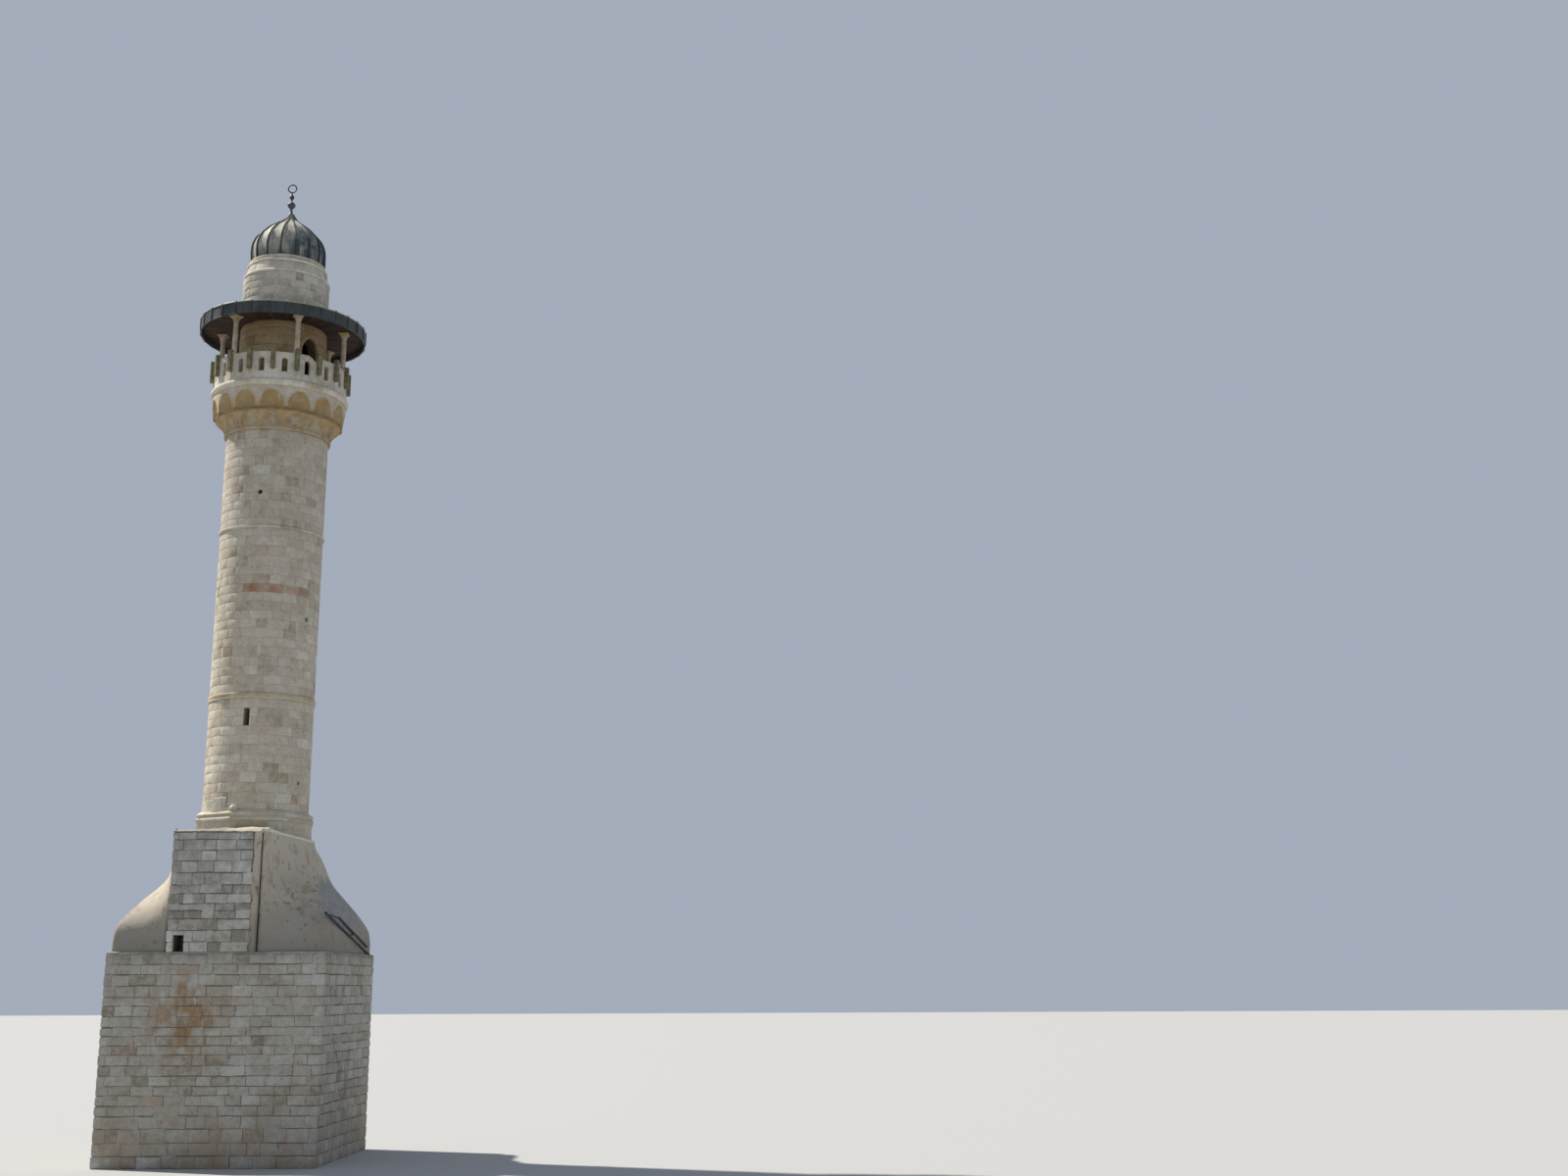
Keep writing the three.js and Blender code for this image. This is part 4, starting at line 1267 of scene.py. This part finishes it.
def cornice_stones():
    rng = random.Random(CORNICE_SEED)
    cornice = Builder()
    top = GALLERY_LEVEL
    foot = CORBEL_TOP
    profile = [
        (-0.03, top + 0.004), (-0.016, top - 0.002), (0.004, top - 0.03), (0.010, top - 0.05),
        (0.010, foot + 0.075), (0.002, foot + 0.052), (-0.014, foot + 0.036), (-0.03, foot + 0.006),
        (-0.05, foot - 0.003),
    ]
    moulding(cornice, RoundWall(CORNICE_RADIUS), profile, rng, length=0.62, rust=0.18, embed=0.06)
    cornice.piece("gallery_cornice", pale_stone)


cornice_stones()


# Parapet: flat slabs with an arched opening, and an olive post over each joint
BAYS = 18
BAY_ANGLE = 360 / BAYS
POST_AZIMUTH = 8.4
PARAPET_RADIUS = 1.91
PARAPET_THICK = 0.12
PANEL_BEVEL = 0.009
BAY_OPENING_WIDTH = 0.16
BAY_OPENING_HEIGHT = 0.42
BAY_OPENING_FOOT = 21.87
POST_HALF = 0.06
POST_OUTER = 2.02
POST_BOTTOM = 21.92
POST_TOP = 22.57
POST_BEVEL = 0.01
PANEL_GAP = 0.004
PANEL_LEAN = 0.004
POST_TILT = 0.006
PARAPET_RUST = 0.05
BROKEN_BAY = 2
# Across from the right edge and down from the top, where the broken bay's corner is missing
BREAK = [(0, -0.135), (-0.098, -0.15), (-0.17, -0.07), (-0.25, -0.03), (-0.28, 0)]
# From the foot or from the top of a post, and how far its sides are drawn in
POST_FOOT = [(0, POST_BEVEL), (POST_BEVEL, 0)]
POST_HEAD = [(-0.05, 0), (-0.045, 0.006), (-0.038, 0.006), (-0.033, 0), (-POST_BEVEL, 0), (0, POST_BEVEL)]


def ray_hit(outline, centre, angle):
    """The point of a closed outline that is seen from a centre at an angle."""
    direction = Vector((math.cos(angle), math.sin(angle)))
    best = None
    for start, end in zip(outline, shifted(outline)):
        a = Vector(start) - centre
        span = Vector(end) - Vector(start)
        turn = direction.x * span.y - direction.y * span.x
        if abs(turn) < 1e-12:
            continue
        reach = (a.x * span.y - a.y * span.x) / turn
        share = (a.x * direction.y - a.y * direction.x) / turn
        if reach > 0 and -1e-6 <= share <= 1 + 1e-6 and (best is None or reach < best):
            best = reach
    return centre + direction * best


def inset(loop, centre, amount):
    """A loop drawn in towards its centre, or out where the amount is negative."""
    return [point + (centre - point).normalized() * amount for point in loop]


def arched_opening(steps=10):
    half = BAY_OPENING_WIDTH / 2
    spring = BAY_OPENING_FOOT + BAY_OPENING_HEIGHT - half
    outline = [(-half, BAY_OPENING_FOOT), (half, BAY_OPENING_FOOT), (half, spring)]
    for step in range(1, steps):
        angle = math.pi * step / steps
        outline.append((half * math.cos(angle), spring + half * math.sin(angle)))
    return [*outline, (-half, spring)]


def pierced_slab(builder, place, outer, hole, centre, back, front, tone, rust):
    """A slab with a hole, its edges bevelled. place maps (across, up, outward) to a point."""
    bevel = PANEL_BEVEL
    angles = {round(angle, 6) for angle in turns(40)}
    for corner in [*outer, *hole]:
        offset = Vector(corner) - centre
        angles.add(round(math.atan2(offset.y, offset.x) % (2 * math.pi), 6))
    rim = [ray_hit(outer, centre, angle) for angle in sorted(angles)]
    mouth = [ray_hit(hole, centre, angle) for angle in sorted(angles)]
    small_rim = inset(rim, centre, bevel)
    wide_mouth = inset(mouth, centre, -bevel)
    rings = [
        (mouth, back + bevel), (mouth, front - bevel), (wide_mouth, front), (small_rim, front),
        (rim, front - bevel), (rim, back + bevel), (small_rim, back), (wide_mouth, back),
    ]
    loops = [[place(point.x, point.y, w) for point in edge] for edge, w in rings]
    loft(builder, loops, wrap=True, tone=tone, rust=rust, flip=True)


def parapet_panel(index, rng):
    half_angle = math.radians(BAY_ANGLE / 2)
    face = PARAPET_RADIUS * math.cos(half_angle)
    half = face * math.tan(half_angle) - PANEL_GAP
    foot = GALLERY_LEVEL + 0.002
    top = PARAPET_TOP
    corner = [(half + across, top + up) for across, up in BREAK] if index == BROKEN_BAY else [(half, top)]
    outer = [(-half, foot), (half, foot), *corner, (-half, top)]
    centre = Vector((0, BAY_OPENING_FOOT + BAY_OPENING_HEIGHT * 0.45))
    place = outward_frame(POST_AZIMUTH + BAY_ANGLE * (index - 0.5))
    lean = rng.uniform(-PANEL_LEAN, PANEL_LEAN)
    back = face - PARAPET_THICK + lean
    tone = 0.3 + rng.uniform(-0.12, 0.12)
    panel = Builder()
    pierced_slab(panel, place, outer, arched_opening(), centre, back, face + lean, tone, PARAPET_RUST)
    panel.piece("parapet_panel_%02d" % index, pale_stone, ["parapet_%02d" % index], sharp=35)


def parapet_post(index, rng):
    place = outward_frame(POST_AZIMUTH + BAY_ANGLE * (index - 1))
    back = PARAPET_RADIUS - 0.012
    tilt = rng.uniform(-POST_TILT, POST_TILT)
    loops = []
    rows = [(POST_BOTTOM + up, draw) for up, draw in POST_FOOT]
    rows += [(POST_TOP + up, draw) for up, draw in POST_HEAD]
    for level, draw in rows:
        swing = tilt * (level - POST_BOTTOM) / (POST_TOP - POST_BOTTOM)
        half = POST_HALF - draw
        front = POST_OUTER - draw
        side = front - POST_BEVEL
        face = half - POST_BEVEL
        section = [(-face, front), (face, front), (half, side), (half, back), (-half, back), (-half, side)]
        loops.append([place(across + swing, level, w) for across, w in section])
    post = Builder()
    loft(post, loops, tone=rng.uniform(0.3, 0.7))
    post.piece("parapet_post_%02d" % index, olive_posts, sharp=30)


def parapet():
    rng = random.Random(PARAPET_SEED)
    for index in range(1, BAYS + 1):
        parapet_panel(index, rng)
        parapet_post(index, rng)


parapet()


# Canopy columns: a moulded foot, a slightly tapered shaft and a capital that spreads from round to square
COLUMNS = 6
COLUMN_SIDES = 32
COLUMN_RING = 1.825
COLUMN_RADIUS = 0.075
CAPITAL_HALF = 0.145
# The capitals' heavy ochre stain is partly real rust and partly painted shade under the canopy
CAPITAL_RUST_AND_SHADE = 0.85
COLUMN_RUST = 0.05
CAPITAL_FOOT = SOFFIT_LEVEL - 0.13
# Height above the foot or the capital's foot, radius, and how square the section is
COLUMN_FOOT = [
    (0, 0.105, 0.9), (0.035, 0.105, 0.9), (0.04, 0.098, 0), (0.055, 0.102, 0), (0.07, 0.094, 0),
    (0.085, COLUMN_RADIUS + 0.003, 0), (0.6, COLUMN_RADIUS, 0),
]
COLUMN_HEAD = [
    (-0.06, COLUMN_RADIUS - 0.006, 0), (-0.05, 0.086, 0), (-0.03, 0.09, 0), (-0.015, 0.08, 0),
    (0, 0.09, 0.15), (0.03, 0.1, 0.4), (0.06, 0.118, 0.7), (0.085, 0.138, 0.95),
    (0.09, CAPITAL_HALF - 0.004, 1), (0.1, CAPITAL_HALF, 1), (0.128, CAPITAL_HALF, 1),
]


def canopy_column(index):
    azimuth = POST_AZIMUTH + BAY_ANGLE + 360 / COLUMNS * (index - 1)
    turn = Matrix.Rotation(math.radians(azimuth), 3, "Z")
    centre = Vector(turned_point(COLUMN_RING, azimuth, 0))
    rows = [(PARAPET_TOP + up, *form) for up, *form in COLUMN_FOOT]
    rows += [(CAPITAL_FOOT + up, *form) for up, *form in COLUMN_HEAD]
    loops = []
    rusts = []
    for level, radius, squareness in rows:
        loop = []
        for angle in turns(COLUMN_SIDES):
            x = math.cos(angle)
            y = math.sin(angle)
            reach = radius * (1 + (1 / max(abs(x), abs(y)) - 1) * squareness)
            loop.append(tuple(turn @ Vector((x * reach, y * reach, level)) + centre))
        loops.append(loop)
        rusts.extend([CAPITAL_RUST_AND_SHADE if level > CAPITAL_FOOT else COLUMN_RUST] * COLUMN_SIDES)
    column = Builder()
    loft(column, loops, tone=0.3, rust=rusts)
    column.piece("column_%d" % index, column_stone, ["canopy_column_%d" % index], sharp=35)


for index in range(1, COLUMNS + 1):
    canopy_column(index)


# Canopy: boards under it, and seams, beads and knobs on its sheet metal
CANOPY_SIDES = 30
CANOPY_TURN = 5
CANOPY_RADIUS = 2.39
CANOPY_INNER = 1.265
CANOPY_AZIMUTHS = [CANOPY_TURN + 360 / CANOPY_SIDES * side for side in range(CANOPY_SIDES)]
FASCIA_TOP = 23.81
PLANKS = 4 * CANOPY_SIDES
PLANK_ANGLE = 360 / PLANKS
PLANK_THICK = 0.016
PLANK_GAPS = (0.05, 0.14)
SEAM_HALF = 0.016
FASCIA_SEAM = [
    (FASCIA_BOTTOM, 0.01), (FASCIA_BOTTOM + 0.012, 0.017),
    (FASCIA_TOP - 0.01, 0.017), (FASCIA_TOP + 0.01, 0.01),
]
ROOF_SEAM = [(-0.009, -0.02), (0.009, -0.02), (0.007, 0.026), (-0.007, 0.026)]
KNOB_SHAPE = [(0.012, -0.03), (0.024, -0.018), (0.03, 0), (0.024, 0.018), (0.008, 0.028)]
APRON = [(1.262, -0.02), (1.325, -0.018), (1.325, -0.006), (1.285, 0.012), (1.277, 0.075), (1.262, 0.08)]
APRON_SIDES = 60


def soffit_planks():
    rng = random.Random(SOFFIT_SEED)
    planks = Builder()
    inner = CANOPY_INNER + 0.004
    outer = (CANOPY_RADIUS - 0.045) * math.cos(math.pi / CANOPY_SIDES)
    top = SOFFIT_LEVEL + 0.002
    for index in range(PLANKS):
        left = index * PLANK_ANGLE + CANOPY_TURN
        gap = rng.uniform(*PLANK_GAPS)
        bottom = SOFFIT_LEVEL - PLANK_THICK - rng.uniform(0, 0.004)
        loops = []
        for radius, gap_share in ((inner, 1.3), (outer, 1)):
            start = left + gap * gap_share
            end = left + PLANK_ANGLE - gap * gap_share
            section = ((start, bottom), (end, bottom), (end, top), (start, top))
            loops.append([turned_point(radius, azimuth, level) for azimuth, level in section])
        loft(planks, loops, tone=rng.uniform(0.1, 0.9), flip=True)
    planks.piece("soffit_planks", soffit_boards, sharp=30)


def bead(builder, radius, level, thick):
    """A round bead along the canopy's edge."""
    section = [(radius + thick * math.cos(angle), level - thick * math.sin(angle)) for angle in turns(8)]
    loops = []
    for azimuth in CANOPY_AZIMUTHS:
        loops.append([turned_point(reach, azimuth, height) for reach, height in section])
    loft(builder, loops, wrap=True)


def canopy_trim():
    seams = Builder()
    edges = Builder()
    back = CANOPY_RADIUS - 0.02
    for azimuth in CANOPY_AZIMUTHS:
        place = outward_frame(azimuth)
        loops = []
        for level, away in FASCIA_SEAM:
            front = CANOPY_RADIUS + away
            section = ((-SEAM_HALF, front), (SEAM_HALF, front), (SEAM_HALF, back), (-SEAM_HALF, back))
            loops.append([place(across, level, w) for across, w in section])
        loft(seams, loops)
        loops = []
        for share in (0, 0.25, 0.5, 0.75, 1):
            radius = CANOPY_RADIUS - 0.01 - (CANOPY_RADIUS - CANOPY_INNER - 0.01) * share
            level = FASCIA_TOP + (ROOF_TOP - FASCIA_TOP) * share
            loops.append([place(across, level + up, radius) for across, up in ROOF_SEAM])
        loft(seams, loops)
        x, y, z = turned_point(CANOPY_RADIUS - 0.004, azimuth, FASCIA_TOP + 0.028)
        lathe(edges, [(radius, z + up) for radius, up in KNOB_SHAPE], sides=10, centre=(x, y))
    bead(edges, CANOPY_RADIUS + 0.004, FASCIA_TOP + 0.006, thick=0.016)
    bead(seams, CANOPY_RADIUS - 0.002, FASCIA_BOTTOM + 0.004, thick=0.009)
    seams.piece("canopy_seams", shaded_seam_sheet, sharp=35)
    edges.piece("canopy_edge", highlit_edge_sheet, sharp=50)

    apron = Builder()
    azimuths = [360 * side / APRON_SIDES for side in range(APRON_SIDES)]
    loops = [[turned_point(radius, azimuth, ROOF_TOP + up) for radius, up in APRON] for azimuth in azimuths]
    loft(apron, loops, wrap=True, flip=True)
    apron.piece("canopy_apron", highlit_edge_sheet, sharp=35)


soffit_planks()
canopy_trim()


# Lantern drum, whose stones and surround follow the door's pointed head
DOOR_AZIMUTH = 55
DOOR_HALF = 0.3
DOOR_HEIGHT = 1.63
DOOR_HEAD = 0.432
DOOR_CLEARANCE = 0.05
SURROUND = 0.11


def door_half(half, share):
    """Half the door's width at a share of its head."""
    return half * (1 - share ** 1.8) ** 0.6


def door_openings(wall, levels):
    middle = wall.along(DOOR_AZIMUTH)
    top = GALLERY_LEVEL + DOOR_HEIGHT
    spring = top - DOOR_HEAD
    openings = []
    for bottom, head in zip(levels, levels[1:]):
        if bottom < top:
            reach = door_half(DOOR_HALF, max(0, (bottom - spring) / (top - spring))) + DOOR_CLEARANCE
            limit = min(head, top + DOOR_CLEARANCE)
            openings.append((middle - reach, middle + reach, bottom + 0.001, limit - 0.001))
    return openings


def door_outline(margin, steps=9):
    """The door's edge, moved out by a margin, from one foot over the point to the other."""
    half = DOOR_HALF + margin
    head = DOOR_HEAD + margin
    spring = GALLERY_LEVEL + DOOR_HEIGHT - DOOR_HEAD
    outline = [(half, GALLERY_LEVEL), (half, (GALLERY_LEVEL + spring) / 2)]
    shares = [step / steps for step in range(steps + 1)]
    outline += [(door_half(half, share), spring + head * share) for share in shares]
    return outline + [(-x, z) for x, z in outline[-2::-1]]


def drum_stones():
    rng = random.Random(DRUM_SEED)
    wall = RoundWall(DRUM_RADIUS)
    lower = Builder()
    levels = uneven_cuts(GALLERY_LEVEL, SOFFIT_LEVEL, DRUM_LOOK.height, rng)
    lay_courses(lower, wall, levels, DRUM_LOOK, rng, door_openings(wall, levels), some_rust(0.15, 0.2, 0.6))
    lower.piece("drum_lower_stones", drum_stone)
    upper = Builder()
    levels = uneven_cuts(ROOF_TOP - 0.05, DRUM_SHOULDER, DRUM_LOOK.height, rng)
    lay_courses(upper, wall, levels, replace(DRUM_LOOK, dark=0.3), rng)
    upper.piece("drum_upper_stones", drum_top_stone)

    surround = Builder()
    middle = wall.along(DOOR_AZIMUTH)
    loops = []
    for (a, b), (c, d) in zip(door_outline(0), door_outline(SURROUND)):
        section = [(a, b, -0.06), (a, b, 0.02), ((a * 3 + c) / 4, b, 0.026), (c, d, 0.026), (c, d, -0.01)]
        loops.append([wall.place(middle + u, v, w) for u, v, w in section])
    loft(surround, loops)
    surround.piece("door_surround", drum_stone, sharp=35)


drum_stones()


# Shoulder of the drum: two light mouldings, a sloping course between them and a brown course under the dome
SLOPE = [
    (25.19, 1.25), (25.25, 1.25), (25.29, 1.21), (25.56, 1.14), (25.59, 1.155), (25.67, 1.08), (25.79, 1.10),
]
NECK = [(25.67, 1.085), (25.73, 1.10), (25.79, 1.10)]
SLOPE_RADIUS = 1.2
SLOPE_COURSE = [25.285, 25.57]
NECK_RADIUS = 1.09
NECK_COURSE = [25.665, 25.785]
NECK_RUST = (0.05, 0.25)
# Radius and top of each moulding, then the middle, half height, reach and inner edge of its roll
SHOULDER_ROLLS = [(1.25, 25.295, (25.232, 0.042, 0.022, 0.0)), (1.155, 25.66, (25.605, 0.036, 0.02, 0.0))]


def shoulder_stones():
    rng = random.Random(SHOULDER_SEED)
    stones = Builder()
    lay_courses(stones, RoundWall(SLOPE_RADIUS, SLOPE), SLOPE_COURSE, SHOULDER_LOOK, rng)
    stones.piece("shoulder_stones", drum_top_stone)
    rolls = Builder()
    for radius, top, roll in SHOULDER_ROLLS:
        moulding(rolls, RoundWall(radius), [(-0.03, top), *rolled(*roll)], rng, length=0.6, embed=0.06)
    rolls.piece("shoulder_mouldings", pale_stone)
    neck = Builder()

    def rust(u, v, rng):
        return rng.uniform(*NECK_RUST)

    lay_courses(neck, RoundWall(NECK_RADIUS, NECK), NECK_COURSE, NECK_LOOK, rng, rust=rust)
    neck.piece("neck_stones", drum_top_stone)


shoulder_stones()


# Dome: gores slightly hollowed between standing ribs, and painted light: paler sheet towards its sunny side
# and its top
DOME_RIBS = 16
RIB_AZIMUTH = 3.5
RIB_ANGLE = 360 / DOME_RIBS
SUNLIT_AZIMUTH = -55
GORE_STEPS = 10
GORE_HOLLOW = 0.045
SHELL_THICK = 0.045
INNER_TONE = 0.5
SMALLEST_INNER = 0.3
TIP_PAINTED_LIGHT = 1.4
TIP_PAINTED_LIGHT_START = 0.43
RIB_HALF = 0.02
RIB_RISE = 0.034
DOME_PROFILE = [
    (25.79, 1.06), (26.08, 1.08), (26.35, 1.055), (26.6, 0.955), (26.8, 0.79), (26.95, 0.64), (27.1, 0.44),
    (27.25, 0.255), (27.4, 0.15), (27.5, 0.095),
]
DOME_CURVE = smooth_curve(DOME_PROFILE)


def gore_loop(radius, level, hollow):
    loop = []
    for index in range(DOME_RIBS):
        for step in range(GORE_STEPS):
            share = step / GORE_STEPS
            azimuth = RIB_AZIMUTH + RIB_ANGLE * (index + share)
            reach = radius * (1 - hollow * math.sin(math.pi * share) ** 0.8)
            loop.append(turned_point(reach, azimuth, level))
    return loop


def dome_gores():
    inner = [point for point in DOME_CURVE[::CURVE_STEPS] if point.y > SMALLEST_INNER]
    loops = [gore_loop(r - SHELL_THICK, z - 0.02 if r < 1 else z, 0) for z, r in reversed(inner)]
    count = DOME_RIBS * GORE_STEPS
    tones = [INNER_TONE] * count * len(inner)
    for level, radius in DOME_CURVE:
        loops.append(gore_loop(radius - 0.004, level, GORE_HOLLOW))
        rise = (level - DOME_RIM) / (DOME_TIP - DOME_RIM)
        for index in range(count):
            # Painted light: gores towards the sunlit side and the top get a paler tone
            turn = math.radians(RIB_AZIMUTH + 360 * (index + 0.5) / count - SUNLIT_AZIMUTH)
            tones.append(clamp(0.5 + 0.5 * math.cos(turn) + TIP_PAINTED_LIGHT * (rise - TIP_PAINTED_LIGHT_START)))
    gores = Builder()
    loft(gores, loops, tone=tones)
    gores.piece("dome_gores", dome_sheet, ["dome"], sharp=50)


def dome_ribs():
    ribs = Builder()
    for index in range(DOME_RIBS):
        place = outward_frame(RIB_AZIMUTH + RIB_ANGLE * index)
        loops = []
        for level, radius in DOME_CURVE:
            half = min(RIB_HALF, radius * 0.12)
            rise = min(RIB_RISE, 0.003 + max(0, radius - 0.1) * 0.11)
            section = ((-half, -0.012), (half, -0.012), (half * 0.55, rise), (-half * 0.55, rise))
            loops.append([place(across, level, radius + away) for across, away in section])
        loft(ribs, loops)
    ribs.piece("dome_ribs", rib_sheet, sharp=45)


dome_gores()
dome_ribs()


# Finial: a beaded stem and a ring
HOOP_RADIUS = 0.125
HOOP_TUBE = 0.02
HOOP_STEPS = 56
TUBE_SIDES = 12
STEM_SIDES = 32
HOOP_CENTRE = FINIAL_TOP - HOOP_RADIUS - HOOP_TUBE
HOOP_FOOT = HOOP_CENTRE - HOOP_RADIUS - HOOP_TUBE
STEM_FOOT = DOME_TIP - 0.03
STEM = [
    (0.10, STEM_FOOT), (0.085, STEM_FOOT + 0.03), (0.06, STEM_FOOT + 0.07), (0.042, STEM_FOOT + 0.12),
    (0.036, 27.66), (0.040, 27.69), (0.066, 27.715), (0.098, 27.75), (0.115, 27.785), (0.119, 27.815),
    (0.113, 27.84), (0.095, 27.868), (0.064, 27.893), (0.036, 27.915), (0.026, 27.94), (0.023, 27.985),
    (0.034, 28.0), (0.056, 28.025), (0.069, 28.06), (0.069, 28.085), (0.056, 28.118), (0.034, 28.143),
    (0.021, 28.16), (0.019, HOOP_FOOT), (0.016, HOOP_FOOT + 0.03),
]


def finial():
    stem = Builder()
    lathe(stem, STEM, sides=STEM_SIDES)
    stem.piece("finial_beads", finial_metal, ["finial_stem"], sharp=50)
    hoop = Builder()
    loops = []
    for angle in turns(HOOP_STEPS):
        out = Vector((math.cos(angle), 0, math.sin(angle)))
        loop = []
        for turn in turns(TUBE_SIDES):
            offset = Vector((0, HOOP_TUBE * math.sin(turn), HOOP_CENTRE))
            loop.append(tuple(out * (HOOP_RADIUS + HOOP_TUBE * math.cos(turn)) + offset))
        loops.append(loop)
    loft(hoop, loops, wrap=True, flip=True)
    hoop.piece("finial_hoop", finial_metal, ["finial_ring"], sharp=60)


finial()


# Floor, light and camera
FLOOR_SIZE = 600
FLOOR_COLOUR = (0.36, 0.363, 0.365, 1)
SKY_COLOUR = (0.60, 0.67, 0.80, 1)
SKY_STRENGTH = 0.62
SUN_STRENGTH = 6.5
SUN_COLOUR = (1.0, 0.94, 0.84)
SUN_WIDTH = 1.2
SUN_ELEVATION = 50
SUN_AZIMUTH = -112
LENS = 41.625
EYE = (14.96, -51.41, 4.46)
PITCH = 12.46
ROLL = -0.21


def stage():
    bpy.ops.mesh.primitive_plane_add(size=FLOOR_SIZE, location=(0, 0, 0))
    floor = bpy.context.object
    floor.name = "floor"
    finish = Finish("pale_floor")
    finish.set(Base_Color=FLOOR_COLOUR, Roughness=0.9)
    floor.data.materials.append(finish.material)

    world = bpy.data.worlds.new("pale_sky")
    bpy.context.scene.world = world
    world.use_nodes = True
    background = world.node_tree.nodes["Background"]
    background.inputs["Color"].default_value = SKY_COLOUR
    background.inputs["Strength"].default_value = SKY_STRENGTH

    sun = bpy.data.lights.new("sun", "SUN")
    sun.energy = SUN_STRENGTH
    sun.color = SUN_COLOUR
    sun.angle = math.radians(SUN_WIDTH)
    lamp = bpy.data.objects.new("sun", sun)
    bpy.context.scene.collection.objects.link(lamp)
    elevation = math.radians(SUN_ELEVATION)
    toward = Vector(turned_point(math.cos(elevation), SUN_AZIMUTH, math.sin(elevation)))
    lamp.rotation_euler = toward.to_track_quat("Z", "Y").to_euler()


def camera():
    data = bpy.data.cameras.new("camera")
    data.sensor_width = 36
    data.lens = LENS
    data.clip_end = 2000
    eye = bpy.data.objects.new("camera", data)
    bpy.context.scene.collection.objects.link(eye)
    pitch = Matrix.Rotation(math.radians(90 + PITCH), 4, "X")
    roll = Matrix.Rotation(math.radians(ROLL), 4, "Z")
    eye.matrix_world = Matrix.Translation(EYE) @ pitch @ roll
    bpy.context.scene.camera = eye


stage()
camera()
bpy.context.scene.view_settings.view_transform = "Standard"
